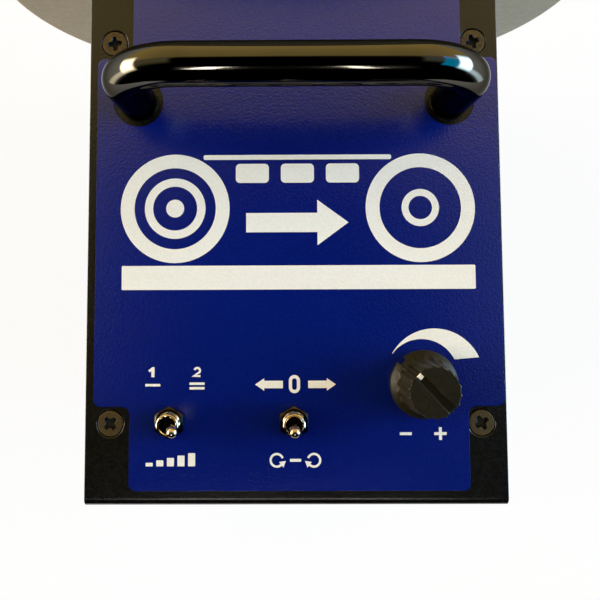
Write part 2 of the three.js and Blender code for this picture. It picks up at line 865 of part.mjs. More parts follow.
// Torque knob: a skirt, a fluted and tapered grip, and a pointer groove over the top and down one side
function makeTorqueKnob() {
  const skirt = knobSkirtDiameter / 2;
  const body = knobBodyDiameter / 2;
  const top = knobTopDiameter / 2;
  const steps = knobFlutes * 4;
  const nutRoom = fit + potNutThickness + looseFit;
  const flutes = Array.from({ length: steps }, (_, i) => {
    const angle = (i * 2 * Math.PI) / steps;
    const radius = i % 4 < 2 ? body : body - knobFluteDepth;
    return new THREE.Vector2(radius * Math.cos(angle), radius * Math.sin(angle));
  });
  const grip = pullUp(new THREE.Shape(flutes), knobSkirtHeight / 2, knobHeight);
  const taper = turnedUp(
    [
      [0, 0],
      [body, 0],
      [body, knobSkirtHeight],
      [top, knobHeight - knobBevel],
      [top - knobBevel, knobHeight],
      [0, knobHeight],
    ],
    facets.outer,
  );
  const skirtRing = turnedUp(
    [
      [0, 0],
      [skirt, 0],
      [skirt, knobSkirtHeight / 2],
      [body, knobSkirtHeight],
      [0, knobSkirtHeight],
    ],
    facets.outer,
  );
  return cut(
    join(skirtRing, common(grip, taper)),
    block(0, 0, knobHeight - knobGrooveDepth, knobGrooveWidth, 2 * body, knobGrooveDepth + past),
    block(0, top + body / 2 - knobGrooveDepth, knobSkirtHeight, knobGrooveWidth, body, knobHeight),
    boreUp(0, 0, -past, potNutFlats / Math.sqrt(3) + looseFit, nutRoom + past, facets.inner),
    boreUp(0, 0, -past, potShaft / 2 + fit, knobHeight - knobCap + past),
  );
}

// Potentiometer: a round case with solder lugs, and a bushing whose bore holds the shaft
function makePotentiometer() {
  const top = coverUnder - fit - overlayTop;
  const bushingTop = potNutThickness + looseFit;
  const boreBottom = top - potShaftDepth;
  const body = turnedUp([
    [0, top - potThickness],
    [potDiameter / 2, top - potThickness],
    [potDiameter / 2, top],
    [potBushing / 2, top],
    [potBushing / 2, bushingTop],
    [potShaft / 2 + fit, bushingTop],
    [potShaft / 2 + fit, boreBottom],
    [0, boreBottom],
  ]);
  const lugs = [-1, 0, 1].map((i) =>
    block(i * potLug.pitch, -potDiameter / 2, top - potLug.drop, potLug.x, potLug.y, potLug.z),
  );
  return join(body, ...lugs);
}

const knobGroup = new THREE.Group();
knobGroup.position.set(knobX, knobFromRear, 0);
panel.add(knobGroup);
const torqueKnob = add(knobGroup, "torque_knob", makeTorqueKnob(), blackPlastic);
torqueKnob.position.z = knobLift;
torqueKnob.rotation.z = degrees(knobPointer);
const potShaftBottom = coverUnder - overlayTop - potShaftDepth;
const potShaftTop = knobLift + knobHeight - knobCap - fit;
add(knobGroup, "potentiometer", makePotentiometer(), zinc);
add(knobGroup, "potentiometer_nut", panelNut(potNutFlats, potNutThickness, potBushing), nickel);
add(
  knobGroup,
  "potentiometer_shaft",
  rodUp(0, 0, potShaftBottom, potShaft / 2, potShaftTop - potShaftBottom),
  aluminium,
);

// Bearing housings: a flange with its screws, and a barrel with the bearing's seat at its free end
const bearingSeat = bearingOuter / 2 + fit;
const barrel = bearingOuter / 2 + housingWall;
const shaftWay = (shaftDiameter + bearingOuter) / 4;
const screwSink = 0.2;

function withScrews(body, face, reach) {
  const seat = face - screwSink;
  return join(body, ...housingScrewPlaces.map(([x, z]) => heldScrew(housingScrew, x, seat, z, reach)));
}

function makeFrontHousing() {
  const seatEnd = bearingWidth + fit - frontHousingLength;
  const body = turnedAlong(
    [
      [shaftWay, 0],
      [shaftWay, seatEnd],
      [bearingSeat, seatEnd],
      [bearingSeat, -frontHousingLength],
      [barrel, -frontHousingLength],
      [barrel, -frontFlangeThickness],
      [housingFlange / 2, -frontFlangeThickness],
      [housingFlange / 2, 0],
      [shaftWay, 0],
    ],
    facets.inner,
  );
  return withScrews(body, 0, frontFlangeThickness + frontPlateThickness + past);
}

function makeRearHousing() {
  const seatEnd = rearHousingLength - bearingWidth - fit;
  const body = turnedAlong(
    [
      [shaftWay, 0],
      [housingFlange / 2, 0],
      [housingFlange / 2, rearFlangeThickness],
      [barrel, rearFlangeThickness],
      [barrel, rearHousingLength],
      [bearingSeat, rearHousingLength],
      [bearingSeat, seatEnd],
      [shaftWay, seatEnd],
      [shaftWay, 0],
    ],
    facets.inner,
  );
  return withScrews(body, rearFlangeThickness, rearFlangeThickness + bracketThickness + past);
}
add(spindle, "front_bearing_housing", makeFrontHousing(), aluminium).position.y = frontHousingFace;
add(spindle, "rear_bearing_housing", makeRearHousing(), aluminium).position.y = bracketFront + fit;
const bearing = ringAlong(shaftDiameter / 2 + fit, bearingOuter / 2, 0, bearingWidth);
add(spindle, "front_bearing", bearing, steel).position.y = frontBearingY;
add(spindle, "rear_bearing", bearing, steel).position.y = rearBearingY;

// Drive bracket: stands on the tray's floor and holds the rear bearing housing and the gear motor
function makeBracket() {
  const low = floorTop + fit;
  const section = foldedSheet(
    [
      [bracketFront - bracketFoot, low],
      [bracketFront, low],
      [bracketFront, low + bracketHeight],
    ],
    bracketThickness,
    bracketBend,
  );
  const through = bracketThickness + 2 * past;
  const hole = (x, z, radius, sides) => boreAlong(x, bracketBack - past, z, radius, through, sides);
  const plate = cut(
    pullAcross(section, bracketWidth),
    hole(0, spindleZ, shaftWay, facets.inner),
    ...housingScrewPlaces.map(([x, z]) => hole(x, spindleZ + z, housingScrew.shank / 2 + fit)),
    hole(0, pinionZ, pinionShaft / 2 + pinionShaftRoom),
    ...motorScrewPlaces.map(([x, z]) => hole(x, pinionZ + z, motorScrew.shank / 2 + fit)),
  );
  const pinLength = traySheet + fit + bracketThickness / 2;
  const pins = bracketPinPlaces.map(([x, y]) => rodUp(x, y, footHeight, bracketPin / 2, pinLength));
  return join(plate, ...pins);
}
add(machine, "drive_bracket", makeBracket(), steel);

// Gear motor: the gearbox is screwed to the back of the bracket, the motor can is behind it
function makeGearbox() {
  const radius = gearboxDiameter / 2;
  const body = turnedAlong(
    [
      [0, -gearboxLength],
      [radius - gearboxEdge, -gearboxLength],
      [radius, -gearboxLength + gearboxEdge],
      [radius, 0],
      [0, 0],
    ],
    facets.inner,
  );
  const seat = bracketThickness + 2 * fit;
  const screws = motorScrewPlaces.map(([x, z]) => heldScrew(motorScrew, x, seat, z, seat + past));
  const shaftBore = boreAlong(0, -pinionShaftDepth, 0, pinionShaft / 2 + fit, pinionShaftDepth + past);
  return join(cut(body, shaftBore), ...screws);
}
add(pinionAxis, "gearbox", makeGearbox(), zinc).position.y = gearboxFront;

function makeMotor() {
  const radius = motorDiameter / 2;
  const can = turnedAlong(
    [
      [0, -motorBoss.length],
      [motorBoss.radius, -motorBoss.length],
      [motorBoss.radius, 0],
      [radius - motorEdge, 0],
      [radius, motorEdge],
      [radius, motorLength],
      [0, motorLength],
    ],
    facets.inner,
  );
  const { x, width, depth, height } = motorTab;
  const tabs = bothSides.map((side) => block(side * x, past - depth / 2, -height / 2, width, depth, height));
  return join(can, ...tabs);
}
add(pinionAxis, "drive_motor", makeMotor(), steel).position.y = motorBack;

// Gears: involute teeth thinned for backlash, in X and Z, with angles from +Z towards +X
function gearOutline(teeth, firstTooth) {
  const pitch = (gearModule * teeth) / 2;
  const base = pitch * Math.cos(degrees(pressureAngle));
  const outer = pitch + gearModule;
  const root = pitch - dedendum * gearModule;
  const unwound = (radius) => {
    const t = Math.sqrt(Math.max((radius / base) ** 2 - 1, 0));
    return t - Math.atan(t);
  };
  const halfAtPitch = Math.PI / (2 * teeth) - gearBacklash / (4 * pitch);
  const half = (radius) => halfAtPitch + unwound(pitch) - unwound(radius);
  const low = Math.max(base, root);
  const flank = [low, pitch, outer];
  const points = [];
  const put = (radius, angle) =>
    points.push(new THREE.Vector2(radius * Math.sin(angle), radius * Math.cos(angle)));
  for (let i = 0; i < teeth; i += 1) {
    const middle = firstTooth - (i * 2 * Math.PI) / teeth;
    put(root, middle + half(low));
    flank.forEach((radius) => put(radius, middle + half(radius)));
    [...flank].reverse().forEach((radius) => put(radius, middle - half(radius)));
    put(root, middle - half(low));
  }
  return new THREE.Shape(points.filter((p, i) => i === 0 || p.distanceTo(points[i - 1]) > 0.01));
}

function makeMainGear() {
  const face = pullAlong(gearOutline(gearTeeth, Math.PI), gearY, gearWidth);
  const hub = rodAlong(0, gearY, 0, gearHubDiameter / 2, gearWidth + gearHubLength, facets.inner);
  const rootRadius = (gearModule * gearTeeth) / 2 - dedendum * gearModule;
  const webMiddle = (gearHubDiameter / 2 + rootRadius) / 2;
  const webHalf = (rootRadius - gearHubDiameter / 2) / 2;
  const windows = circlePlaces(gearWindows, 2 * webMiddle, 0).map(([x, z]) =>
    boreAlong(x, gearY - past, z, 0.7 * webHalf, gearWidth + 2 * past),
  );
  const through = gearWidth + gearHubLength + 2 * past;
  const bore = boreAlong(0, gearY - past, 0, shaftDiameter / 2 + fit, through, facets.inner);
  return cut(join(face, hub), ...windows, bore);
}
add(spindle, "main_gear", makeMainGear(), nylon);

const pinionStart = gearY - pinionOverlap;
const pinionLength = gearWidth + 2 * pinionOverlap;
const pinionFace = pullAlong(gearOutline(pinionTeeth, Math.PI / pinionTeeth), pinionStart, pinionLength);
const pinionBore = boreAlong(0, pinionStart - past, 0, pinionShaft / 2 + fit, pinionLength + 2 * past);
add(pinionAxis, "motor_pinion", cut(pinionFace, pinionBore), brass);
const gearboxShaftStart = gearboxFront - pinionShaftDepth + looseFit;
const gearboxShaftLength = pinionStart + pinionLength + pinionOverlap - gearboxShaftStart;
const gearboxShaft = rodAlong(0, gearboxShaftStart, 0, pinionShaft / 2, gearboxShaftLength);
add(pinionAxis, "gearbox_shaft", gearboxShaft, steel);

// Spindle shaft, with the collar that holds it behind the rear bearing
const collarStart = rearBearingY - looseFit - collarLength;
const shaftStart = collarStart - shaftProud;
const shaftLength = shaftEnd - shaftStart;
const spindleShaft = rodAlong(0, shaftStart, 0, shaftDiameter / 2, shaftLength, facets.inner);
add(spindle, "spindle_shaft", spindleShaft, steel);
const collar = ringAlong(shaftDiameter / 2 + fit, collarDiameter / 2, collarStart, collarLength);
add(spindle, "shaft_collar", collar, zinc);

// Hub: its flange backs the disc, and its spigot centres the disc and the chuck
function makeHub() {
  const bore = shaftDiameter / 2 + fit;
  const flangeFront = discBack - fit;
  const flangeBack = flangeFront - hubFlangeThickness;
  const hubStart = frontHousingFace + hubStandOff;
  const body = turnedAlong([
    [bore, hubStart],
    [hubBoss / 2, hubStart],
    [hubBoss / 2, flangeBack],
    [hubFlange / 2, flangeBack],
    [hubFlange / 2, flangeFront],
    [chuckInner - fit, flangeFront],
    [chuckInner - fit, spigotEnd],
    [bore, spigotEnd],
    [bore, hubStart],
  ]);
  const holes = chuckScrewPlaces.map(([x, z]) =>
    boreAlong(x, flangeBack - past, z, chuckScrew.shank / 2 + fit, hubFlangeThickness + 2 * past),
  );
  return cut(body, ...holes);
}
add(spindle, "spindle_hub", makeHub(), aluminium);

// Guide disc, with a softened rim and a shallow recess that the chuck's flange sits in
function makeDisc() {
  const seat = chuckFlange / 2 + looseFit;
  const disc = turnedAlong(
    [
      [chuckInner, discBack],
      [discRadius - discEdge, discBack],
      [discRadius, discBack + discEdge],
      [discRadius, discFront - discEdge],
      [discRadius - discEdge, discFront],
      [seat, discFront],
      [seat, discFront - discRecess],
      [chuckInner, discFront - discRecess],
      [chuckInner, discBack],
    ],
    facets.disc,
  );
  const holes = chuckScrewPlaces.map(([x, z]) =>
    boreAlong(x, discBack - past, z, chuckScrew.shank / 2 + looseFit, discThickness + 2 * past),
  );
  return cut(disc, ...holes);
}
add(spindle, "guide_disc", makeDisc(), palePlastic);

// Chuck body: a cup with a flange at its open end, three slots for the jaws and a hole for the cam
function makeChuckBody() {
  const body = turnedAlong([
    [chuckInner, chuckBack],
    [chuckFlange / 2, chuckBack],
    [chuckFlange / 2, tubeStart],
    [chuckOuter, tubeStart],
    [chuckOuter, tubeEnd],
    [camJournal / 2 + fit, tubeEnd],
    [camJournal / 2 + fit, tubeEnd - chuckWall],
    [chuckInner, tubeEnd - chuckWall],
    [chuckInner, chuckBack],
  ]);
  const slotLength = chuckLength - jawSlotStart - jawSlotEnd;
  const slotMiddle = tubeStart + jawSlotStart + slotLength / 2;
  const slots = jawAngles.map((angle) =>
    block(0, slotMiddle, chuckInner / 2, jawSlotWidth, slotLength, chuckOuter).rotateY(angle),
  );
  const screwSeats = chuckScrewPlaces.map(([x, z]) =>
    facingFront(countersink(chuckScrew)).translate(x, tubeStart, z),
  );
  return cut(body, ...slots, ...screwSeats);
}
add(spindle, "chuck_body", makeChuckBody(), aluminium);
chuckScrewPlaces.forEach(([x, z], i) => {
  const screw = add(spindle, `chuck_screw_${i + 1}`, facingFront(countersunkScrew(chuckScrew)), zinc);
  screw.position.set(x, tubeStart, z);
});

// Jaws: bars in the slots, with shoulders that keep them in and a nose that rides on the cam
const camAt = (angle) => camBase + (camLift * angle) / camSweep;
const jawTravel = camAt(camSweep) - camAt(camRest);

function makeJaw() {
  const top = chuckOuter + jawProud;
  const stem = jawSlotWidth / 2 - looseFit;
  const shoulder = jawSlotWidth / 2 + jawShoulderStep;
  const wall = chuckInner * Math.cos(Math.PI / facets.outer);
  const shoulderTop = Math.sqrt(wall ** 2 - shoulder ** 2) - jawTravel - looseFit;
  const shoulderLow = shoulderTop - jawShoulderHeight;
  const nose = jawNoseWidth / 2;
  const noseLow = camAt(camRest) + camClearance;
  const crown = Math.asin(stem / top);
  const shape = new THREE.Shape();
  shape.moveTo(-nose, noseLow);
  shape.lineTo(nose, noseLow);
  shape.lineTo(nose, shoulderLow);
  shape.lineTo(shoulder, shoulderLow);
  shape.lineTo(shoulder, shoulderTop);
  shape.lineTo(stem, shoulderTop);
  shape.absarc(0, 0, top, Math.PI / 2 - crown, Math.PI / 2 + crown);
  shape.lineTo(-stem, shoulderTop);
  shape.lineTo(-shoulder, shoulderTop);
  shape.lineTo(-shoulder, shoulderLow);
  shape.lineTo(-nose, shoulderLow);
  const grooveX = (i) => (i - (jawGrooves - 1) / 2) * jawGroovePitch;
  const grooveLength = jawLength + 2 * past;
  const grooveBottom = top - jawGrooveDepth;
  const grooves = Array.from({ length: jawGrooves }, (_, i) =>
    block(grooveX(i), jawLength / 2, grooveBottom, jawGrooveWidth, grooveLength, jawGrooveDepth + past),
  );
  return cut(pullAlong(shape, 0, jawLength), ...grooves);
}
jawAngles.forEach((angle, i) => {
  const jaw = add(spindle, `chuck_jaw_${i + 1}`, makeJaw(), blackPlastic);
  jaw.position.y = jawStart;
  jaw.rotation.y = angle;
});

// Cam: three rising lobes that lift the jaws together, on the shaft's end and in the chuck's end wall
function makeCam() {
  const steps = 6;
  const points = jawAngles.flatMap((jawAngle) =>
    Array.from({ length: steps + 1 }, (_, k) => {
      const ahead = (camSweep * k) / steps;
      const angle = jawAngle + degrees(ahead - camRest);
      return new THREE.Vector2(camAt(ahead) * Math.sin(angle), camAt(ahead) * Math.cos(angle));
    }),
  );
  const coreStart = spigotEnd + looseFit;
  const coreEnd = tubeEnd - chuckWall - looseFit;
  const pilotDepth = shaftEnd - coreStart + looseFit;
  const screwDepth = chuckKnobScrew.length - chuckKnobWeb + past;
  return cut(
    join(
      pullAlong(new THREE.Shape(points), jawStart, jawLength),
      rodAlong(0, coreStart, 0, camBase - camClearance, coreEnd - coreStart, facets.inner),
      rodAlong(0, coreEnd - past, 0, camJournal / 2, journalEnd - coreEnd + past, facets.inner),
    ),
    boreAlong(0, coreStart - past, 0, shaftDiameter / 2 + fit, pilotDepth + past, facets.inner),
    boreAlong(0, journalEnd - screwDepth, 0, chuckKnobScrew.shank / 2 + fit, screwDepth + past),
  );
}
add(spindle, "chuck_cam", makeCam(), nylon);

// Chuck knob: a lobed grip with bevelled faces, screwed to the end of the cam
function makeChuckKnob() {
  const steps = chuckKnobLobes * 8;
  const radius = chuckKnobDiameter / 2;
  const rim = Array.from({ length: steps }, (_, i) => {
    const angle = (i * 2 * Math.PI) / steps;
    const r = radius - (chuckKnobLobeDepth / 2) * (1 - Math.cos(chuckKnobLobes * angle));
    return new THREE.Vector2(r * Math.cos(angle), r * Math.sin(angle));
  });
  const front = chuckKnobBack + chuckKnobThickness;
  const bevels = turnedAlong([
    [0, chuckKnobBack],
    [radius - chuckKnobBevel, chuckKnobBack],
    [radius, chuckKnobBack + chuckKnobBevel],
    [radius, front - chuckKnobBevel],
    [radius - chuckKnobBevel, front],
    [0, front],
  ]);
  const webEnd = journalEnd + fit + chuckKnobWeb;
  return cut(
    common(pullAlong(new THREE.Shape(rim), chuckKnobBack, chuckKnobThickness), bevels),
    boreAlong(0, chuckKnobBack - past, 0, camJournal / 2 + fit, past + chuckKnobBore + fit, facets.inner),
    boreAlong(0, chuckKnobBack, 0, chuckKnobScrew.shank / 2 + looseFit, chuckKnobThickness),
    boreAlong(0, webEnd, 0, chuckKnobScrew.head / 2 + past, chuckKnobThickness, facets.inner),
  );
}
add(spindle, "chuck_knob", makeChuckKnob(), blackPlastic);
const knobScrew = add(spindle, "chuck_knob_screw", facingFront(panScrew(chuckKnobScrew)), zinc);
knobScrew.position.y = journalEnd + fit + chuckKnobWeb + fit;

// Control board: a printed board with its components, on stand-offs that snap into the floor
const componentsLow = standOffTop + board.z - solderSink;
const terminalY = board.fromRear + terminalStrip.inset;
const terminalTop = componentsLow + terminalStrip.height;

function makeBoard() {
  const middle = board.fromRear + boardDepth / 2;
  const along = (share) => board.fromRear + boardDepth * share;
  const strip = { ...terminalStrip, x: 0, share: terminalStrip.inset / boardDepth };
  const boxes = [inductor, relay, chip, strip].map(({ x, share, width, depth, height }) =>
    block(x, along(share), componentsLow, width, depth, height),
  );
  const cans = capacitor.x.map((x) =>
    rodUp(x, along(capacitor.share), componentsLow, capacitor.radius, capacitor.height),
  );
  const standOffs = standOffPlaces.flatMap(([x, y]) => [
    rodUp(x, y, floorTop + fit, standOffDiameter / 2, standOffHeight),
    rodUp(x, y, footHeight, standOffPin / 2, traySheet + past),
  ]);
  return join(block(0, middle, standOffTop, board.x, boardDepth, board.z), ...boxes, ...cans, ...standOffs);
}
add(machine, "control_board", makeBoard(), boardGreen);

// Power inlet: a round socket with a centre pin, snapped into the rear wall
function makeInlet() {
  const behind = coverSheet + 2 * fit;
  const bevel = inletRim / 2;
  const body = turnedAlong(
    [
      [0, inletDepth],
      [0, -inletRim / 2],
      [inletPin / 2, -inletRim / 2],
      [inletPin / 2, inletDepth - inletFloor],
      [inletSocket / 2, inletDepth - inletFloor],
      [inletSocket / 2, -inletRim],
      [inletFlange / 2 - bevel, -inletRim],
      [inletFlange / 2, -inletRim + bevel],
      [inletFlange / 2, 0],
      [inletBody / 2, 0],
      [inletBody / 2, inletDepth],
      [0, inletDepth],
    ],
    facets.inner,
  );
  const wings = bothSides.map((side) =>
    block(
      (side * inletBody) / 2,
      behind + inletWing.depth / 2,
      -inletWing.height / 2,
      2 * inletWing.out,
      inletWing.depth,
      inletWing.height,
    ),
  );
  const tabs = bothSides.map((side) =>
    block(
      side * inletTab.x,
      inletDepth + inletTab.depth / 2 - past,
      -inletTab.height / 2,
      inletTab.width,
      inletTab.depth + 2 * past,
      inletTab.height,
    ),
  );
  return join(body, ...wings, ...tabs);
}
add(machine, "power_inlet", makeInlet(), blackPlastic).position.set(inletX, -fit, inletZ);

// Leads inside the case: the motor's, the inlet's, and the loom from the controls to the board
function lead(points, diameter, steps) {
  const route = new THREE.CatmullRomCurve3(
    points.map((p) => new THREE.Vector3(...p)),
    false,
    "centripetal",
  );
  const section = new THREE.Shape().absarc(0, 0, diameter / 2, 0, Math.PI * 2);
  return new THREE.ExtrudeGeometry(section, { steps, curveSegments: 3, extrudePath: route });
}
const leadEnd = terminalTop + looseFit;
const wireY = motorBack / 2;
const motorBossEnd = motorBack - motorBoss.length;
const motorLead = lead(
  [
    [0, motorBossEnd - looseFit, pinionZ],
    [0, motorBossEnd - leadDiameter, pinionZ],
    [0, wireY, pinionZ - 2 * leadDiameter],
    [leadDiameter, wireY, (pinionZ + leadEnd) / 2],
    [motorTerminalX, terminalY, leadEnd + 2.5 * leadDiameter],
    [motorTerminalX, terminalY, leadEnd],
  ],
  leadDiameter,
  14,
);
add(machine, "motor_lead", motorLead, redCable);
const inletEnd = inletDepth + inletTab.depth;
const inletLead = lead(
  [
    [inletX, inletEnd + looseFit, inletZ],
    [inletX, inletEnd + leadDiameter, inletZ],
    [(inletX + inletTerminalX) / 2, terminalY + leadDiameter / 2, inletZ + leadDiameter / 2],
    [inletTerminalX, terminalY, leadEnd + 1.5 * leadDiameter],
    [inletTerminalX, terminalY, leadEnd],
  ],
  leadDiameter,
  12,
);
add(machine, "inlet_lead", inletLead, blackCable);
const switchPinsEnd = coverUnder - fit - switchBody.z - terminalPin.z - looseFit;
const potEnd = coverUnder - fit - potThickness - looseFit;
const loomMeet = [loomX, wireY, switchPinsEnd - loomDrop];
const towardsMeet = (point, share) =>
  point.map((value, i) => value + (loomMeet[i] - value) * share - (i === 2 ? loomDiameter : 0));
const loomBranches = [
  [torqueSwitchX, switchFromRear, switchPinsEnd],
  [directionSwitchX, switchFromRear, switchPinsEnd],
  [knobX, knobFromRear, potEnd],
].map((start) => {
  const below = [start[0], start[1] - loomDiameter / 3, start[2] - 2 * loomDiameter];
  const route = [start, below, towardsMeet(below, 1 / 3), towardsMeet(below, 2 / 3), loomMeet];
  return lead(route, loomDiameter, 8);
});
const loomTrunk = lead(
  [
    [loomX, wireY, loomMeet[2] + loomDiameter],
    [loomX, wireY, (2 * loomMeet[2] + leadEnd) / 3],
    [loomX, wireY, (loomMeet[2] + 2 * leadEnd) / 3],
    [loomTerminalX, terminalY, leadEnd + 2.5 * loomDiameter],
    [loomTerminalX, terminalY, leadEnd],
  ],
  2 * loomDiameter,
  10,
);
add(machine, "control_loom", join(loomTrunk, ...loomBranches), blackCable);

// The origin is on the table, under the middle of the whole machine
const root = new THREE.Group();
root.add(machine);
const extent = new THREE.Box3().setFromObject(machine);
machine.position.y = -(extent.min.y + extent.max.y) / 2;

export default root;
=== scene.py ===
import math

import bmesh
import bpy
import numpy as np
from bpy.props import FloatProperty, FloatVectorProperty, IntProperty, PointerProperty
from mathutils import Euler, Matrix, Vector
from mathutils.geometry import delaunay_2d_cdt


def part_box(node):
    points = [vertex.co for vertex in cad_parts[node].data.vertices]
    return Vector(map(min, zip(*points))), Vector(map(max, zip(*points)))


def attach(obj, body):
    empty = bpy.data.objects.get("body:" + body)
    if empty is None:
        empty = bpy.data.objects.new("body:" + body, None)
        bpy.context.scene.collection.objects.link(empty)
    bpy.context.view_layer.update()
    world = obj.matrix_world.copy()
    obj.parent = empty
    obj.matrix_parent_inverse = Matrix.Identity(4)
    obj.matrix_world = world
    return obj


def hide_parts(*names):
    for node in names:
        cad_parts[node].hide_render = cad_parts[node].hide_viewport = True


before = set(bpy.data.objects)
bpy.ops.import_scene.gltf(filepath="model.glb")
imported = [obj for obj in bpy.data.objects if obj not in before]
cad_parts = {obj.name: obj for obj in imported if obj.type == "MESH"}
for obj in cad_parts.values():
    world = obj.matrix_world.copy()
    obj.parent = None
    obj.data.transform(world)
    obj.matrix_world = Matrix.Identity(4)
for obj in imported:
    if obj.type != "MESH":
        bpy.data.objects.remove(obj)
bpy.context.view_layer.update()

bl_info = {
    "name": "Label rewinder",
    "version": (1, 0, 0),
    "blender": (4, 5, 0),
    "location": "View3D > Sidebar > Rewinder",
    "description": "Dresses the frame of a bench label rewinder with its finished pieces",
    "category": "Add Mesh",
}

# Shapes are worked out in millimetres and stored in metres
MM = 0.001
MICRON = 1e-6
TAU = 2 * math.pi


def shade(red, green, blue):
    """The linear colour of a display colour: ((c + 0.055) / 1.055) ** 2.4, or c / 12.92 near black."""
    c = np.array([red, green, blue]) / 255
    linear = np.where(c > 0.04045, ((c + 0.055) / 1.055) ** 2.4, c / 12.92)
    return tuple(float(v) for v in linear)


def colour_choice(name, description, value):
    return FloatVectorProperty(
        name=name, description=description, default=value, size=3, min=0, max=1, subtype="COLOR"
    )


def length_choice(name, description, value):
    return FloatProperty(
        name=name, description=description, default=value * MM, min=0, unit="LENGTH", precision=5
    )


class RewinderSizes(bpy.types.PropertyGroup):
    """Sizes of the finished pieces that the frame leaves open."""

    sheet_edge: length_choice("Sheet edge", "How far the edges of the sheet metal are rounded", 0.22)
    overlay_edge: length_choice("Overlay edge", "How far the cut edge of the overlay is rounded", 0.08)
    overlay_corner: length_choice("Overlay corner", "Radius of the corners of the overlay", 2.0)
    overlay_notch: length_choice("Overlay notch", "Radius where the overlay passes a screw", 2.3)
    print_height: length_choice("Print height", "Thickness of the printed ink", 0.03)
    screw_gap: length_choice("Screw gap", "Dark gap round each countersunk head", 0.3)
    thread_pitch: length_choice("Thread pitch", "Pitch of the threads of the switches", 0.64)
    knob_groove: length_choice("Knob groove", "Width of the pointer groove of the torque knob", 2.2)
    knob_flutes: IntProperty(name="Knob flutes", description="Flutes round the torque knob", default=18)


class RewinderColours(bpy.types.PropertyGroup):
    """Colours of the finishes that a user would change."""

    powder: colour_choice("Powder coat", "Black powder coat of the case", shade(4, 3, 2))
    overlay: colour_choice("Overlay", "Blue of the control panel's overlay", shade(3, 19, 98))
    ink: colour_choice("Ink", "White ink of the signs on the overlay", shade(238, 234, 228))
    chrome: colour_choice("Dark chrome", "Dark chrome of the carrying handle", shade(89, 87, 81))
    nickel: colour_choice("Nickel", "Bright nickel of the switches", shade(206, 192, 168))
    screws: colour_choice("Screws", "Blackened steel of the case's screws", shade(100, 83, 52))
    knob: colour_choice("Knob", "Black moulded plastic of the knobs", shade(21, 19, 9))
    disc: colour_choice("Disc", "Pale moulded plastic of the guide disc", shade(172, 160, 132))


# Lines and outlines


def unit(vectors):
    return vectors / np.maximum(np.linalg.norm(vectors, axis=-1, keepdims=True), 1e-12)


def fillet(corners, steps=5, closed=True):
    """A line whose corners are arcs. A corner is (x, y, radius): its arc starts radius * tan(turn / 2)
    before the corner, and runs round the point that lies the radius to the side that the line turns to."""
    table = np.array([(*corner, 0.0)[:3] for corner in corners], float)
    point, radius = table[:, :2], table[:, 2].copy()
    into = unit(point - np.roll(point, 1, 0))
    away = unit(np.roll(point, -1, 0) - point)
    if not closed:
        radius[[0, -1]] = 0
        into[0], away[-1] = away[0], into[-1]
    cross = into[:, 0] * away[:, 1] - into[:, 1] * away[:, 0]
    turn = np.arctan2(cross, np.sum(into * away, 1))
    start = point - into * (radius * np.tan(np.abs(turn) / 2))[:, None]
    centre = start + left_of(into) * (np.sign(turn) * radius)[:, None]
    spoke = start - centre
    angle = turn[:, None] * np.linspace(0, 1, steps + 1)
    x = spoke[:, :1] * np.cos(angle) - spoke[:, 1:] * np.sin(angle)
    y = spoke[:, :1] * np.sin(angle) + spoke[:, 1:] * np.cos(angle)
    line = (centre[:, None] + np.stack([x, y], -1)).reshape(-1, 2)
    step = np.linalg.norm(line - np.roll(line, 1, 0), axis=1)
    keep = step > 1e-5
    if not closed:
        keep[0] = True
    return line[keep]


def box_outline(x0, y0, x1, y1, radius=0.0, steps=5):
    """A rectangle with rounded corners, counterclockwise."""
    return fillet([(x0, y0, radius), (x1, y0, radius), (x1, y1, radius), (x0, y1, radius)], steps)


def round_angles(count):
    """The angles of that many points, evenly round a circle."""
    return np.arange(count) * TAU / count


def around(radius, t, height):
    """Points at (radius cos t, radius sin t) and a height, for whole arrays of each."""
    x, y, z = np.broadcast_arrays(radius * np.cos(t), radius * np.sin(t), height)
    return np.stack([x, y, z], -1)


def circle(radius, centre=(0, 0), count=48):
    """Points round a centre, counterclockwise."""
    return around(radius, round_angles(count), 0)[:, :2] + centre


def arc(centre, radius, start, end, steps=24):
    """Points round a centre, from a start to an end in degrees."""
    return around(radius, np.radians(np.linspace(start, end, steps + 1)), 0)[:, :2] + centre


def mirror(corners, middle=0):
    """The corners of the other half of a shape, in the order that carries the line on."""
    return [(2 * middle - x, y, *radius) for x, y, *radius in reversed(corners)]


def left_of(side):
    """The way to the left of each side of a line."""
    return np.stack([-side[:, 1], side[:, 0]], 1)


def mitres(line, closed=True):
    """The way that each corner goes when both its sides move one unit to their left: twice the sum of the
    sides' left normals, over that sum's square. At a very sharp corner it is kept short."""
    if closed:
        left = left_of(unit(np.roll(line, -1, 0) - line))
        middle = left + np.roll(left, 1, 0)
    else:
        left = left_of(unit(np.diff(line, axis=0)))
        middle = np.vstack([left[:1], left]) + np.vstack([left, left[-1:]])
    return 2 * middle / np.maximum(np.sum(middle**2, 1, keepdims=True), 0.5)


def offset(loop, distance):
    """A closed loop whose sides all move to their left by a distance."""
    return loop + distance * mitres(loop)


def inside(points, loop):
    """Whether each point is inside a loop: a ray to the right crosses its sides an odd number of times."""
    a, b = loop, np.roll(loop, -1, 0)
    x, y = points[:, :1], points[:, 1:]
    spans = (a[:, 1] > y) != (b[:, 1] > y)
    rise = np.where(b[:, 1] == a[:, 1], 1.0, b[:, 1] - a[:, 1])
    reach = a[:, 0] + (y - a[:, 1]) * (b[:, 0] - a[:, 0]) / rise
    return np.sum(spans & (x < reach), 1) % 2 == 1


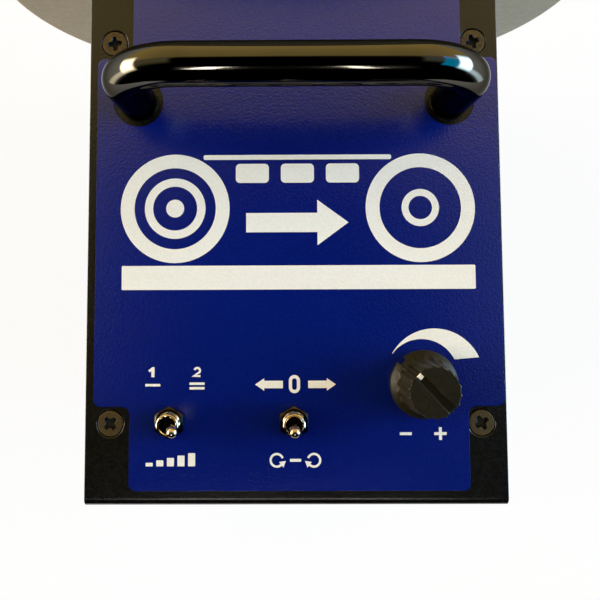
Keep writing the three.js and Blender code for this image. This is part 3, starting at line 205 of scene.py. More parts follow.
def split_at(loop, stations):
    """A loop with more points where its sides cross the stations of its second coordinate."""
    out = []
    for a, b in zip(loop, np.roll(loop, -1, 0)):
        low, high = min(a[1], b[1]), max(a[1], b[1])
        between = [s for s in stations if low + 1e-6 < s < high - 1e-6]
        share = np.array([0.0] + sorted((s - a[1]) / (b[1] - a[1]) for s in between))
        out.append(a + (b - a) * share[:, None])
    return np.concatenate(out)


def stroke(line, width):
    """The outline of a line drawn with a flat pen: its right side at half the width, its left side back."""
    left = mitres(line, False) * width / 2
    return [np.vstack([line - left, (line + left)[::-1]])]


# Pieces

# Where the local axis of a turned shape points: its columns are the local x, y and z directions
FACING = {
    "up": np.eye(3),
    "front": np.array([[1, 0, 0], [0, 0, 1], [0, -1, 0]], float),
    "rear": np.array([[1, 0, 0], [0, 0, -1], [0, 1, 0]], float),
}


class Piece:
    """A piece in the making: surfaces in millimetres, gathered until they become one object. Local shapes
    have their axis along z, and are stood at the centre, facing up, front (+y) or rear (-y)."""

    def __init__(self, centre=(0, 0, 0), facing="up"):
        self.centre = np.array(centre, float)
        self.turn = FACING[facing]
        self.points, self.faces, self.finishes = [], [], []
        self.count = 0

    def stand(self, centre, facing=None):
        self.centre = np.array(centre, float)
        if facing:
            self.turn = FACING[facing]

    def add(self, points, faces, finish=0):
        points = np.asarray(points, float).reshape(-1, 3) @ self.turn.T + self.centre
        self.points.append(points)
        self.faces.extend((np.asarray(faces) + self.count).tolist())
        self.finishes.extend([finish] * len(faces))
        self.count += len(points)

    def grid(self, points, wrap=True, finish=0):
        """A surface from a grid of rows by columns of points, whose last column may join the first."""
        rows, columns = points.shape[:2]
        i, j = np.meshgrid(
            np.arange(rows - 1), np.arange(columns if wrap else columns - 1), indexing="ij"
        )
        k = (j + 1) % columns
        quads = [i * columns + j, i * columns + k, (i + 1) * columns + k, (i + 1) * columns + j]
        self.add(points, np.stack(quads, -1).reshape(-1, 4), finish)

    def lathe(self, profile, sides=96, finish=0):
        """A turned surface: at angle t, a profile's (radius, height) is at (radius cos t, radius sin t)."""
        profile = np.asarray(profile, float)
        self.grid(around(profile[:, :1], round_angles(sides), profile[:, 1:]), True, finish)

    def cap(self, loops, heights, place=None, rows=(), extra=(), finish=0):
        """A flat or mapped face inside the first loop and outside the others: the Delaunay triangles whose
        middles lie there. Rows join the two sides of the first loop, where the face is to bend, and extra
        rings of points let it curve."""
        points = np.concatenate([*loops, *extra])
        edges, start = [], 0
        for loop in loops:
            index = np.arange(len(loop))
            edges += np.stack([start + index, start + (index + 1) % len(loop)], 1).tolist()
            start += len(loop)
        for row in rows:
            on = np.flatnonzero(np.abs(loops[0][:, 1] - row) < 1e-4)
            if len(on) > 1:
                edges.append([on[np.argmin(loops[0][on, 0])], on[np.argmax(loops[0][on, 0])]])
        made = delaunay_2d_cdt([tuple(p) for p in points], edges, [], 1, 1e-7, False)
        vertices, _, triangles = made[:3]
        flat = np.array([tuple(v) for v in vertices])
        faces = np.array([f for f in triangles if len(f) == 3])
        middle = flat[faces].mean(1)
        keep = inside(middle, loops[0])
        for inner in loops[1:]:
            keep &= ~inside(middle, inner)
        height = heights(flat) if callable(heights) else np.full(len(flat), heights)
        solid = np.c_[flat, height]
        self.add(place(solid) if place else solid, faces[keep], finish)

    def plate(self, loops, low, high, edge=0.3, steps=3, place=None, rows=(), finish=0):
        """A plate between two heights: the outline, then its holes clockwise. The rings of its edge go in by
        edge * (1 - cos a) and out by edge * sin a, so both rims are quarter circles."""
        a = np.linspace(0, math.pi / 2, steps + 1)
        inset, rise = edge * (1 - np.cos(a)), edge * np.sin(a)
        insets = np.r_[inset[::-1], inset]
        heights = np.r_[low + edge - rise[::-1], high - edge + rise]
        rims = []
        for loop in loops:
            rings = np.stack([np.insert(offset(loop, d), 2, h, axis=1) for d, h in zip(insets, heights)])
            if place:
                rings = place(rings.reshape(-1, 3)).reshape(rings.shape)
            self.grid(rings, True, finish)
            rims.append(offset(loop, edge))
        for height in (low, high):
            self.cap(rims, height, place, rows, (), finish)

    def mesh(self, name):
        """The gathered surfaces as one closed mesh in metres, its doubles merged and its faces outward."""
        made = bpy.data.meshes.new(name)
        made.from_pydata((np.concatenate(self.points) * MM).tolist(), [], self.faces)
        made.polygons.foreach_set("material_index", self.finishes)
        work = bmesh.new()
        work.from_mesh(made)
        bmesh.ops.remove_doubles(work, verts=work.verts, dist=2e-6)
        bmesh.ops.recalc_face_normals(work, faces=work.faces)
        work.to_mesh(made)
        work.free()
        return made

    def done(self, name, body, slot, finishes, replaces=(), sharp=34, bevel=0.0, cutters=()):
        """The piece as an object that rides on a body, with its finishes and the solids it stands for."""
        piece = link(name, self.mesh(name))
        for cutter in cutters:
            carve(piece, cutter)
        if bevel:
            edge = piece.modifiers.new("Broken edges", "BEVEL")
            edge.width, edge.segments, edge.limit_method = bevel * MM, 2, "ANGLE"
            edge.angle_limit = math.radians(sharp)
        mesh = piece.data
        for each in finishes:
            mesh.materials.append(finish(each))
        mesh.polygons.foreach_set("use_smooth", np.ones(len(mesh.polygons), bool))
        mesh.set_sharp_from_angle(angle=math.radians(sharp))
        even = piece.modifiers.new("Even shading", "WEIGHTED_NORMAL")
        even.keep_sharp, even.weight = True, 80
        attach(piece, body)
        if replaces:
            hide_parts(*replaces)


def link(name, mesh):
    piece = bpy.data.objects.new(name, mesh)
    bpy.context.scene.collection.objects.link(piece)
    return piece


def carve(piece, cutter):
    """Takes a cutter's shape, a Piece, out of an object's mesh."""
    tool = link("cutter", cutter.mesh("cutter"))
    cut = piece.modifiers.new("Cut", "BOOLEAN")
    cut.operation, cut.solver, cut.object = "DIFFERENCE", "EXACT", tool
    bpy.context.view_layer.update()
    graph = bpy.context.evaluated_depsgraph_get()
    mesh = bpy.data.meshes.new_from_object(piece.evaluated_get(graph))
    piece.modifiers.clear()
    piece.data = mesh
    bpy.data.objects.remove(tool)


def box_of(node):
    """The lowest and highest corner of a solid of the frame, in millimetres."""
    low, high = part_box(node)
    return np.array(low) / MM, np.array(high) / MM


def middle_of(node):
    low, high = box_of(node)
    return (low + high) / 2


def numbered(name, count):
    """The names of nodes that are numbered from 1."""
    return [f"{name}_{number}" for number in range(1, count + 1)]


def sizes():
    """The user's sizes, in millimetres."""
    chosen = bpy.context.scene.rewinder_sizes
    return lambda name: getattr(chosen, name) / MM


# Finishes


class Tree:
    """Adds nodes to a tree. A value that is another node's socket is linked, and any other is set."""

    def __init__(self, tree):
        self.tree = tree

    def add(self, kind, values=None, output=0, **settings):
        node = self.tree.nodes.new(kind)
        for name, value in settings.items():
            setattr(node, name, value)
        for name, value in (values or {}).items():
            self.feed(node.inputs[name], value)
        return node.outputs[output] if output is not None else node

    def feed(self, socket, value):
        if isinstance(value, bpy.types.NodeSocket):
            self.tree.links.new(value, socket)
        elif isinstance(value, tuple) and len(value) == 3 and socket.type == "RGBA":
            socket.default_value = (*value, 1)
        else:
            socket.default_value = value

    def math(self, operation, a, b=0.0):
        return self.add("ShaderNodeMath", {0: a, 1: b}, operation=operation)

    def remap(self, value, low, high, to_low=0.0, to_high=1.0):
        values = {"Value": value, "From Min": low, "From Max": high, "To Min": to_low, "To Max": to_high}
        return self.add("ShaderNodeMapRange", values)

    def mix(self, factor, a, b, blend="MIX"):
        node = self.add("ShaderNodeMix", {0: factor, 6: a, 7: b}, None, data_type="RGBA", blend_type=blend)
        return node.outputs[2]

    def place(self, scale=(1, 1, 1), move=(0, 0, 0)):
        """The piece's own coordinates in metres, scaled and moved."""
        coordinates = self.add("ShaderNodeTexCoord", None, "Object")
        return self.add("ShaderNodeMapping", {"Vector": coordinates, "Location": move, "Scale": scale})

    def noise(self, vector, scale, detail=3.0, roughness=0.5):
        values = {"Vector": vector, "Scale": scale, "Detail": detail, "Roughness": roughness}
        return self.add("ShaderNodeTexNoise", values, "Fac")

    def product(self, first, *others):
        for other in others:
            first = self.math("MULTIPLY", first, other)
        return first

    def group(self, tree, value=None):
        """The outputs of a node group, whose only input may get a value."""
        node = self.add("ShaderNodeGroup", None, None, node_tree=tree)
        if value is not None:
            node.inputs[0].default_value = value
        return node.outputs


NUMBER = "NodeSocketFloat"


def fresh_tree(holder):
    """The emptied node tree of a material or a world."""
    holder.use_nodes = True
    holder.node_tree.nodes.clear()
    return Tree(holder.node_tree)


def effect(name, label, value, build):
    """A node group with one named number going in and named numbers coming out, built once and used by any
    finish. What `build` returns, it puts out."""
    if name in bpy.data.node_groups:
        return bpy.data.node_groups[name]
    tree = bpy.data.node_groups.new(name, "ShaderNodeTree")
    tree.interface.new_socket(label, in_out="INPUT", socket_type=NUMBER).default_value = value
    nodes = Tree(tree)
    made = build(nodes, nodes.add("NodeGroupInput", None, label))
    for key in made:
        tree.interface.new_socket(key, in_out="OUTPUT", socket_type=NUMBER)
    nodes.add("NodeGroupOutput", made, None)
    return tree


def speckle():
    """Fine pimples of powder coat, plastic or a satin film: two sizes of noise, the small one weaker."""

    def build(nodes, grains):
        here = nodes.place()
        large = nodes.noise(here, grains, 2.0)
        small = nodes.noise(here, nodes.product(grains, 3.1), 2.0)
        height = nodes.math("ADD", large, nodes.product(small, 0.4))
        return {"Height": height, "Mask": nodes.remap(large, 0.4, 0.6)}

    return effect("Fine speckle", "Grains per metre", 900.0, build)


def blotches():
    """Large soft patches, for handling, dust and uneven colour."""

    def build(nodes, patches):
        return {"Mask": nodes.remap(nodes.noise(nodes.place(), patches), 0.3, 0.7)}

    return effect("Soft blotches", "Patches per metre", 18.0, build)


def edge_wear():
    """Rubbed edges: where the rounded normal leaves the face's own normal, broken up by noise."""

    def build(nodes, reach):
        ways = {0: nodes.add("ShaderNodeBevel", {"Radius": reach}, samples=6)}
        ways[1] = nodes.add("ShaderNodeNewGeometry", None, "Normal")
        along = nodes.add("ShaderNodeVectorMath", ways, "Value", operation="DOT_PRODUCT")
        patches = nodes.remap(nodes.noise(nodes.place(), 260.0, 6.0, 0.7), 0.46, 0.62)
        return {"Mask": nodes.product(nodes.remap(along, 0.995, 0.86), patches)}

    return effect("Edge wear", "Reach", 0.0006, build)


def machining(nodes, where, lines, detail):
    """Height and mask of machining marks: noise of the place, which runs long where they do."""
    marks = nodes.noise(where, lines, detail, 0.6)
    return {"Height": marks, "Mask": nodes.remap(marks, 0.35, 0.65)}


def turning():
    """Marks of turning about the spindle's axis: noise of the distance from the axis and of y."""

    def build(nodes, lines):
        here = nodes.place(move=(0, 0, -middle_of("spindle_shaft")[2] * MM))
        flat = nodes.add("ShaderNodeVectorMath", {0: here, 1: (1, 0, 1)}, operation="MULTIPLY")
        away = nodes.add("ShaderNodeVectorMath", {0: flat}, "Value", operation="LENGTH")
        y = nodes.add("ShaderNodeSeparateXYZ", {0: here}, "Y")
        return machining(nodes, nodes.add("ShaderNodeCombineXYZ", {0: away, 1: y}), lines, 3.0)

    return effect("Turning marks", "Lines per metre", 2600.0, build)


def rolling():
    """Long fine streaks of rolled or drawn metal, along y."""

    def build(nodes, lines):
        return machining(nodes, nodes.place(scale=(1, 0.03, 1)), lines, 4.0)

    return effect("Rolling streaks", "Lines per metre", 2400.0, build)


def chosen_colour(colour):
    """The user's colour where it has a name, and otherwise the display colour's linear one."""
    if isinstance(colour, str):
        return tuple(getattr(bpy.context.scene.rewinder_colours, colour))
    return shade(*colour)


# Each finish: its colour and its patches' colour, its roughness between the patches and in them, how metallic
# it is, its grains per metre or its machining marks, their depth, its patches per metre, and the colour and
# reach of the wear on its edges. Depth and reach are in thousandths of a millimetre
FINISHES = {
    "Powder coat": ("powder", (7, 6, 4), (0.2, 0.28), 0, 1300, 40, 22, (34, 30, 22), 500),
    "Overlay film": ("overlay", (6, 26, 112), (0.1, 0.15), 0, 1700, 50, 14),
    "White ink": ("ink", (229, 224, 217), (0.5, 0.6), 0, 1700, 40, 30),
    "Dark chrome": ("chrome", (82, 80, 73), (0.05, 0.09), 1, 60, 20, 35, (102, 99, 92), 400),
    "Nickel plate": ("nickel", (176, 160, 132), (0.06, 0.12), 1, 600, 20, 160),
    # The switch nuts: nickel darkened all over, a painted dark reflection of the room overhead
    "Nickel painted with dark reflection": ((66, 60, 50), (48, 42, 34), (0.1, 0.2), 1, 600, 20, 200, (120, 110, 92), 200),
    # The bore of a bushing: nickel darkened, a painted shade inside the hole
    "Nickel bore painted shade": ((74, 64, 50), (40, 34, 26), (0.35, 0.5), 1, 900, 40, 300),
    "Blackened steel": ("screws", (70, 57, 35), (0.36, 0.52), 0.7, 1500, 60, 320, (140, 126, 98), 300),
    # The screw recess: near black, a painted shade in the hollow of the cross, on blackened and zinc screws
    # alike
    "Painted shade of screw recess": ((12, 9, 5), (7, 5, 3), (0.5, 0.7), 0, 1500, 60, 300),
    "Zinc plate": ((182, 180, 170), (160, 158, 150), (0.26, 0.4), 1, 900, 30, 120, (205, 203, 196), 300),
    "Bright steel": (
        (176, 176, 174), (150, 150, 150), (0.24, 0.36), 1, rolling, 30, 50, (200, 200, 198), 400
    ),
    "Turned steel": ((182, 182, 180), (160, 160, 158), (0.2, 0.3), 1, turning, 20, 70),
    "Turned aluminium": (
        (206, 207, 208), (188, 189, 190), (0.26, 0.38), 1, turning, 40, 40, (226, 227, 228), 500
    ),
    "Knob plastic": ("knob", (30, 27, 14), (0.36, 0.46), 0, 1400, 50, 90, (62, 58, 44), 300),
    "Black plastic": ((24, 24, 24), (34, 34, 33), (0.42, 0.56), 0, 1200, 80, 60, (56, 56, 54), 500),
    "Pale plastic": ("disc", (161, 149, 122), (0.34, 0.46), 0, 500, 40, 12),
    "Rubber": ((30, 30, 31), (46, 45, 43), (0.7, 0.86), 0, 1100, 120, 90),
    "Nylon": ((228, 224, 208), (214, 208, 190), (0.4, 0.54), 0, 700, 50, 60, (238, 234, 222), 400),
    "Brass": ((206, 172, 104), (178, 142, 82), (0.22, 0.36), 1, rolling, 30, 120, (224, 196, 134), 300),
    "Green board": ((28, 92, 54), (22, 76, 46), (0.32, 0.46), 0, 500, 60, 80),
    "Red lead": ((156, 32, 28), (134, 26, 22), (0.4, 0.56), 0, 900, 50, 120),
    "Black lead": ((26, 26, 27), (38, 38, 38), (0.44, 0.6), 0, 900, 50, 120),
}

# The finishes whose mirror is stronger or weaker than 0.5, and the one whose mirror is grey at grazing angles
SPECULAR_LEVEL = {"Powder coat": 0.7, "Overlay film": 1.0, "Knob plastic": 0.14}
EDGE_TINT = {"Dark chrome": 0.35}


def finish(name):
    """The material of a finish: its colour and roughness vary in patches, its edges are rubbed, and its
    height, from pimples or machining marks, goes to a Bump node."""
    if name in bpy.data.materials and bpy.data.materials[name].use_nodes:
        return bpy.data.materials[name]
    base, patch, rough, metal, marks, depth, patches, *wear = FINISHES[name]
    material = bpy.data.materials.new(name)
    nodes = fresh_tree(material)
    blotch = nodes.group(blotches(), patches)
    marks = nodes.group(marks()) if callable(marks) else nodes.group(speckle(), marks)
    both = nodes.product(nodes.math("ADD", blotch["Mask"], marks["Mask"]), 0.5)
    colour = nodes.mix(both, chosen_colour(base), shade(*patch))
    if wear:
        worn = nodes.group(edge_wear(), wear[1] * MICRON)
        colour = nodes.mix(worn["Mask"], colour, shade(*wear[0]))
    values = {
        "Base Color": colour,
        "Roughness": nodes.remap(both, 0.0, 1.0, *rough),
        "Normal": nodes.add("ShaderNodeBump", {"Height": marks["Height"], "Distance": depth * MICRON}),
        "Metallic": metal,
        "Specular IOR Level": SPECULAR_LEVEL.get(name, 0.5),
        "Specular Tint": (EDGE_TINT.get(name, 1.0),) * 3,
    }
    surface = nodes.add("ShaderNodeBsdfPrincipled", values)
    nodes.add("ShaderNodeOutputMaterial", {"Surface": surface}, None)
    return material


# Screws

# The height of a pan head as a share of its width, and the shank of the case's and the chuck's screws
PAN_HEIGHT = 0.32
SCREW_SHANK = 3.6


def quarter_turns():
    """The four quarter turns, counterclockwise."""
    return [np.array([[c, s], [-s, c]]) for c, s in ((1, 0), (0, 1), (-1, 0), (0, -1))]


def cross_outline(reach, width):
    """A cross with four arms, counterclockwise, narrower at their ends and rounded between them."""
    half, tip = width / 2, width * 0.4
    arm = np.array([(half * 1.25, -half * 1.05), (reach, -tip), (reach, tip)])
    points = np.vstack([arm @ turned for turned in quarter_turns()])
    return fillet(np.c_[points, np.tile([0.18, 0.12, 0.12], 4)], 3)


def screw_head(piece, head, crown, under, reach, twist):
    """The head of a cross-recess screw, standing up with its rim at zero: a crown of height
    crown * (1 - (r / R)^2), a rounded rim, and a recess whose walls lean in to its floor. `under` is the
    profile from the rim down."""
    soft, depth, lip = 0.2, 1.3, 0.09
    radius = head / 2 - soft
    turn = np.array([[math.cos(twist), math.sin(twist)], [-math.sin(twist), math.cos(twist)]])
    cross = cross_outline(reach, reach * 0.68) @ turn

    def dome(flat):
        return crown * (1 - np.sum(flat**2, 1) / radius**2)

    rings = [circle(r, count=40) for r in np.linspace(reach + 0.25, radius - 0.25, 3)]
    piece.cap([circle(radius, count=64), offset(cross, -lip)], dome, extra=rings)
    a = np.linspace(0, math.pi / 2, 4)
    edge = np.c_[radius + soft * np.sin(a), -soft + soft * np.cos(a)]
    piece.lathe(np.vstack([edge, under]), 64)
    steps = [(-lip, 0.0), (0.0, -0.1), (0.12, -depth * 0.55), (0.24, -depth)]
    level = dome(offset(cross, -lip))
    rows = [np.c_[offset(cross, inset), level + drop] for inset, drop in steps]
    # The recess's walls and floor take the second finish, a near-black painted shade
    piece.grid(np.stack(rows), True, 1)
    piece.add(np.vstack([rows[-1], [[0, 0, crown - depth * 1.15]]]), fan(len(cross)), 1)


def fan(count):
    """Triangles from each side of a ring to the point that follows it."""
    index = np.arange(count)
    return np.stack([index, (index + 1) % count, np.full(count, count)], 1)


def under_head(head, shank, rim, cone, end):
    """The profile of a screw from its rim down: the cone, the shank and its chamfered end."""
    half = shank / 2
    return np.array([(head / 2, -rim), (half, -rim - cone), (half, 0.6 - end), (half - 0.5, -end), (0, -end)])


def countersunk(piece, head, shank, length, twist):
    """A flat head flush with the sheet, its cone and its shank."""
    under = under_head(head, shank, 0.35, (head - shank) / 2, length)
    screw_head(piece, head, 0.0, under, head * 0.285, twist)


def pan(piece, head, shank, length, twist):
    """A domed head that lies on the sheet, and its shank. Zero is the underside of the head."""
    height = head * PAN_HEIGHT
    rim = height * 0.42
    keep = piece.centre.copy()
    piece.stand(keep + piece.turn @ np.array([0, 0, rim]))
    under = under_head(head, shank, rim, 0, rim + length)
    screw_head(piece, head, height - rim, under, head * 0.27, twist)
    piece.stand(keep)


# Each pair's second finish is the near-black painted shade of the screw recess
SCREW_FINISHES = ["Blackened steel", "Painted shade of screw recess"]
PLATED_FINISHES = ["Zinc plate", "Painted shade of screw recess"]


class REWINDER_OT_screws(bpy.types.Operator):
    """Puts in the four countersunk screws of the cover and the pan screws of the front plate and rear wall"""

    bl_idname = "rewinder.screws"
    bl_label = "Case screws"

    def execute(self, context):
        for node, twist in zip(numbered("cover_screw", 4), (0.75, 0.12, 0.55, 0.3)):
            low, high = box_of(node)
            piece = Piece((*middle_of(node)[:2], high[2]))
            countersunk(piece, high[0] - low[0], SCREW_SHANK, high[2] - low[2], twist)
            piece.done(f"case_{node}", "case", "black_screw", SCREW_FINISHES, [node], 30)
        for kind, count, facing in (("front_plate", 4, "front"), ("rear_wall", 2, "rear")):
            for number, node in enumerate(numbered(f"{kind}_screw", count), 1):
                low, high = box_of(node)
                x, _, z = middle_of(node)
                head = high[0] - low[0]
                height = head * PAN_HEIGHT
                seat = high[1] - height if facing == "front" else low[1] + height
                piece = Piece((x, seat, z), facing)
                pan(piece, head, SCREW_SHANK, high[1] - low[1] - height, 0.4 + 0.7 * number)
                piece.done(f"case_{node}", "case", "black_screw", SCREW_FINISHES, [node], 30)
        return {"FINISHED"}


# Case

# Sheet metal: its thickness, the outer radius of its bends, and the width of the tray's flanges
SHEET = 2
COVER_BEND = 2.6
TRAY_BEND = 3
FLANGE = 13

# Radii of holes in the sheets, and what the overlay's holes add to the cover's
SCREW_HOLE = 2.1
BOLT_HOLE = 2.8
FOOT_HOLE = 2.9
SWITCH_HOLE = 3.3
DIAL_HOLE = 3.65
INLET_HOLE = 5.65
HOUSING_HOLE = 17.2
BOARD_PIN_HOLE = 1.7
BRACKET_PIN_HOLE = 2.25
BOLT_HEAD_HOLE = 7.2
FILM_GAP = 0.05

# The middles and the ends of the vents in the rear wall, and the pins in the tray
VENTS_X = range(-24, 25, 8)
VENTS_TOP = 122
VENTS_BOTTOM = 92
PINS_X = 38
SWITCH_NUTS = ("torque_switch_nut", "direction_switch_nut")


def folded(corners, across, steps=7):
    """A sheet folded along a line of corners, with its inside to the line's left. Gives the distance along
    the sheet of each point of the line, and what carries a point of the flat sheet, (across, along, depth),
    to the folded one: the line's point at that distance plus the depth times the mitre there. `across` is the
    axis of the frame that the sheet's width lies on."""
    line = fillet(corners, steps, False)
    along = np.r_[0, np.cumsum(np.linalg.norm(np.diff(line, axis=0), axis=1))]

    def place(points):
        def at(values):
            return np.stack([np.interp(points[:, 1], along, values[:, i]) for i in (0, 1)], 1)

        return np.insert(at(line) + points[:, 2:] * at(mitres(line, False)), across, points[:, 0], axis=1)

    return along, place


def hole(x, y, radius, count=32):
    return circle(radius, (x, y), count)[::-1]


def sheet_piece(outline, holes, edge, along, place):
    """A piece of folded sheet metal, with rows of points where it bends."""
    piece = Piece()
    bends = along[1:-1]
    piece.plate([split_at(outline, bends), *holes], 0, SHEET, edge, 3, place, bends)
    return piece


def holes_at(nodes, radius, spot, count=32):
    """A hole for each node, where `spot` puts the node's middle on the flat sheet."""
    return [hole(*spot(*middle_of(node)), radius, count) for node in nodes]


class REWINDER_OT_case(bpy.types.Operator):
    """Makes the folded cover, the folded tray, the front plate and the rubber feet"""

    bl_idname = "rewinder.case"
    bl_label = "Case"

    def execute(self, context):
        size = sizes()
        edge = size("sheet_edge")
        self.cover(edge, size("screw_gap"))
        self.tray(edge)
        self.front_plate(edge)
        self.feet()
        return {"FINISHED"}

    def cover(self, edge, gap):
        """One sheet, over the top and down the operator's end, with the vents in that wall."""
        low, high = box_of("top_cover")
        along, place = folded([(high[1], high[2]), (low[1], high[2], COVER_BEND), (low[1], low[2])], 0)
        wall = along[-2] + high[2] - COVER_BEND

        def on_top(x, y, z):
            return x, high[1] - y

        def on_wall(x, y, z):
            return x, wall - z

        head_low, head_high = box_of("cover_screw_1")
        head = (head_high[0] - head_low[0]) / 2
        holes = holes_at(numbered("cover_screw", 4), head + gap, on_top)
        holes += holes_at(SWITCH_NUTS, SWITCH_HOLE, on_top)
        holes += holes_at(["potentiometer_nut"], DIAL_HOLE, on_top)
        holes += holes_at(numbered("handle_bolt", 2), BOLT_HOLE, on_top)
        holes += holes_at(numbered("rear_wall_screw", 2), SCREW_HOLE, on_wall)
        holes += holes_at(["power_inlet"], INLET_HOLE, on_wall)
        for x in VENTS_X:
            vent = box_outline(x - 1.5, wall - VENTS_TOP, x + 1.5, wall - VENTS_BOTTOM, 1.45, 6)
            holes.append(vent[::-1])
        outline = box_outline(low[0], 0, high[0], along[-1], 1.6)
        piece = sheet_piece(outline, holes, edge, along, place)
        piece.done("case_cover", "case", "black_paint", ["Powder coat"], ["top_cover"])

    def tray(self, edge):
        """Floor, side walls and flanges of one sheet, with lips for the front plate and the rear wall."""
        low, high = box_of("chassis_tray")
        right = [(high[0], low[2], TRAY_BEND), (high[0], high[2], TRAY_BEND), (high[0] - FLANGE, high[2])]
        along, place = folded([*mirror(right), *right], 1)
        floor = along[-1] / 2
        holes = holes_at(numbered("foot", 4), FOOT_HOLE, lambda x, y, z: (y, floor + x))
        board_low, board_high = box_of("control_board")
        bracket_pins = box_of("drive_bracket")[1][1] - 14
        for x in (floor - PINS_X, floor + PINS_X):
            holes += [hole(y, x, BOARD_PIN_HOLE, 16) for y in (board_low[1] + 5, board_high[1] - 5)]
            holes.append(hole(bracket_pins, x, BRACKET_PIN_HOLE, 20))
        outline = box_outline(low[1], 0, high[1], along[-1], 1, 4)
        piece = sheet_piece(outline, holes, edge, along, place)
        # Lips: two upright ones in front, just inside the side walls, and one on the floor at the rear
        bottom, top = low[2] + TRAY_BEND, high[2] - TRAY_BEND
        start, width, height, corner = 1.6, 12.4, 18.4, 0.8
        piece.stand((0, high[1] - SHEET, 0), "front")
        for x in (start - high[0], high[0] - start - width):
            piece.plate([box_outline(x, -top, x + width, -bottom, corner)], 0, SHEET, edge)
        piece.stand((0, low[1], 0), "front")
        left, right, floor = low[0] + TRAY_BEND, high[0] - TRAY_BEND, -low[2] - start
        piece.plate([box_outline(left, floor - height, right, floor, corner)], 0, SHEET, edge)
        piece.done("case_tray", "case", "black_paint", ["Powder coat"], ["chassis_tray"])

    def front_plate(self, edge):
        """A flat plate with rounded corners, a hole for the bearing housing and holes for its screws."""
        low, high = box_of("front_plate")
        outline = box_outline(low[0], -high[2], high[0], -low[2], 2, 6)
        holes = holes_at(["front_bearing"], HOUSING_HOLE, lambda x, y, z: (x, -z), 64)
        holes += holes_at(numbered("front_plate_screw", 4), SCREW_HOLE, lambda x, y, z: (x, -z))
        piece = Piece((0, low[1], 0), "front")
        piece.plate([outline, *holes], 0, high[1] - low[1], edge)
        piece.done("case_front_plate", "case", "black_paint", ["Powder coat"], ["front_plate"])

    def feet(self):
        """A turned rubber foot with a rounded tread, a shallow ring in its sole and a barbed stem."""
        seat = box_of("chassis_tray")[0][2] - 0.15
        for node in numbered("foot", 4):
            low, high = box_of(node)
            radius = (high[0] - low[0]) / 2
            corners = [
                (0, 0.7), (2.2, 0.7, 0.3), (2.6, 0, 0.3), (radius * 0.85, 0, 1.2), (radius, seat - 1, 1.5),
                (radius - 0.3, seat, 0.3), (2.7, seat), (2.7, seat + 2.3), (4, seat + 2.3, 0.3),
                (2.3, high[2], 0.4), (0, high[2]),
            ]
            piece = Piece((*middle_of(node)[:2], 0))
            piece.lathe(fillet(corners, 4, False), 64)
            piece.done(f"case_{node}", "case", "rubber", ["Rubber"], [node], 40)


# Overlay and its print


def overlay_outline(low, high, corner, notch):
    """The overlay: wide in the middle and narrow at both ends, where it passes the cover's screws."""
    middle = (low[0] + high[0]) / 2
    neck, shoulder = middle + 48.2, 23.5
    start, end = low[1] + shoulder, high[1] - shoulder
    right = [
        (neck, low[1], corner), (neck, start, notch), (high[0], start, corner),
        (high[0], end, corner), (neck, end, notch), (neck, high[1], corner),
    ]
    return fillet(right + mirror(right, middle), 6)


def arrow(x, y, length, shaft=2.1, head=3.5, point=2.6):
    """A flat arrow with its tip at x, pointing away from its tail; a negative length points it left."""
    sign = int(math.copysign(1, length))
    back, tail = x - sign * point, x - length
    half, wing = shaft / 2, head / 2
    line = [(tail, -half), (back, -half), (back, -wing), (x, 0), (back, wing), (back, half), (tail, half)]
    return [(np.array(line) + (0, y))[::sign]]


def ring(centre, radius, width):
    line = circle(radius, centre, 72)
    return [offset(line, -width / 2), offset(line, width / 2)[::-1]]


def level_wedge():
    """The sign round the knob: from a thin end to a broad one, between arcs of two circles."""
    outer = arc((39.7, 35.95), 13.87, 150.5, 24.3, 48)
    inner = arc((36.0, 36.4), 10.44, 26.5, 142.8, 40)
    return [np.vstack([outer, inner])[::-1]]


def turn_sign(x, y, radius, start, end, width=0.62, head=1.0):
    """A round arrow: an arc of a pen line, and a triangle on the line's end."""
    line = arc((x, y), radius, start, end)
    tip, way = line[-1], unit(line[-1] - line[-2])
    side = np.array([-way[1], way[0]])
    triangle = np.array([tip + side * head, tip - side * head, tip + way * head * 1.7])
    return [stroke(line, width), [triangle]]


def plus_sign(x, y, reach, width):
    """A plus: an arm to the right, turned by four quarters."""
    arm = np.array([(width / 2, -width / 2), (reach, -width / 2), (reach, width / 2)])
    return np.vstack([arm @ turned for turned in quarter_turns()]) + (x, y)


def threading_sign():
    """How labels run between two rolls: a full roll and an empty one, a strip of labels from the top of one
    to the top of the other, and an arrow the way it runs."""
    left, right, middle = (-34.6, 84.6), (36.4, 84.6), 84.6
    signs = [ring(left, 13.8, 4.0), ring(left, 7.6, 2.4), [circle(2.6, left, 40)]]
    signs += [ring(right, 13.8, 4.0), ring(right, 4.4, 2.0)]
    signs.append([box_outline(left[0] + 8.2, middle + 14.2, right[0] - 8.2, middle + 15.6, 0.5)])
    signs += [[box_outline(x, middle + 7.4, x + 9.6, middle + 13.0, 1.2)] for x in (-17.0, -3.9, 9.2)]
    signs.append(arrow(15.6, middle - 4.2, 29.6, 5.6, 13.2, 9.0))
    return signs


def range_signs():
    """The two torque ranges: 1 with one bar, 2 with two."""
    one = [(0.9, 0), (1.8, 0), (1.8, 2.8), (1.1, 2.8), (0, 1.9), (0.4, 1.4), (0.9, 1.7)]
    two = np.vstack([arc((-28.0, 38.1), 0.78, 165, -35, 14), [(-28.95, 36.6), (-27.1, 36.6)]])
    bars = [(-42.8, 33.7), (-30.2, 34.1), (-30.2, 32.8)]
    signs = [[np.array(one) + (-42.0, 36.3)], stroke(two, 0.6)]
    return signs + [[box_outline(x, y, x + 4.3, y + 0.7, 0.1)] for x, y in bars]


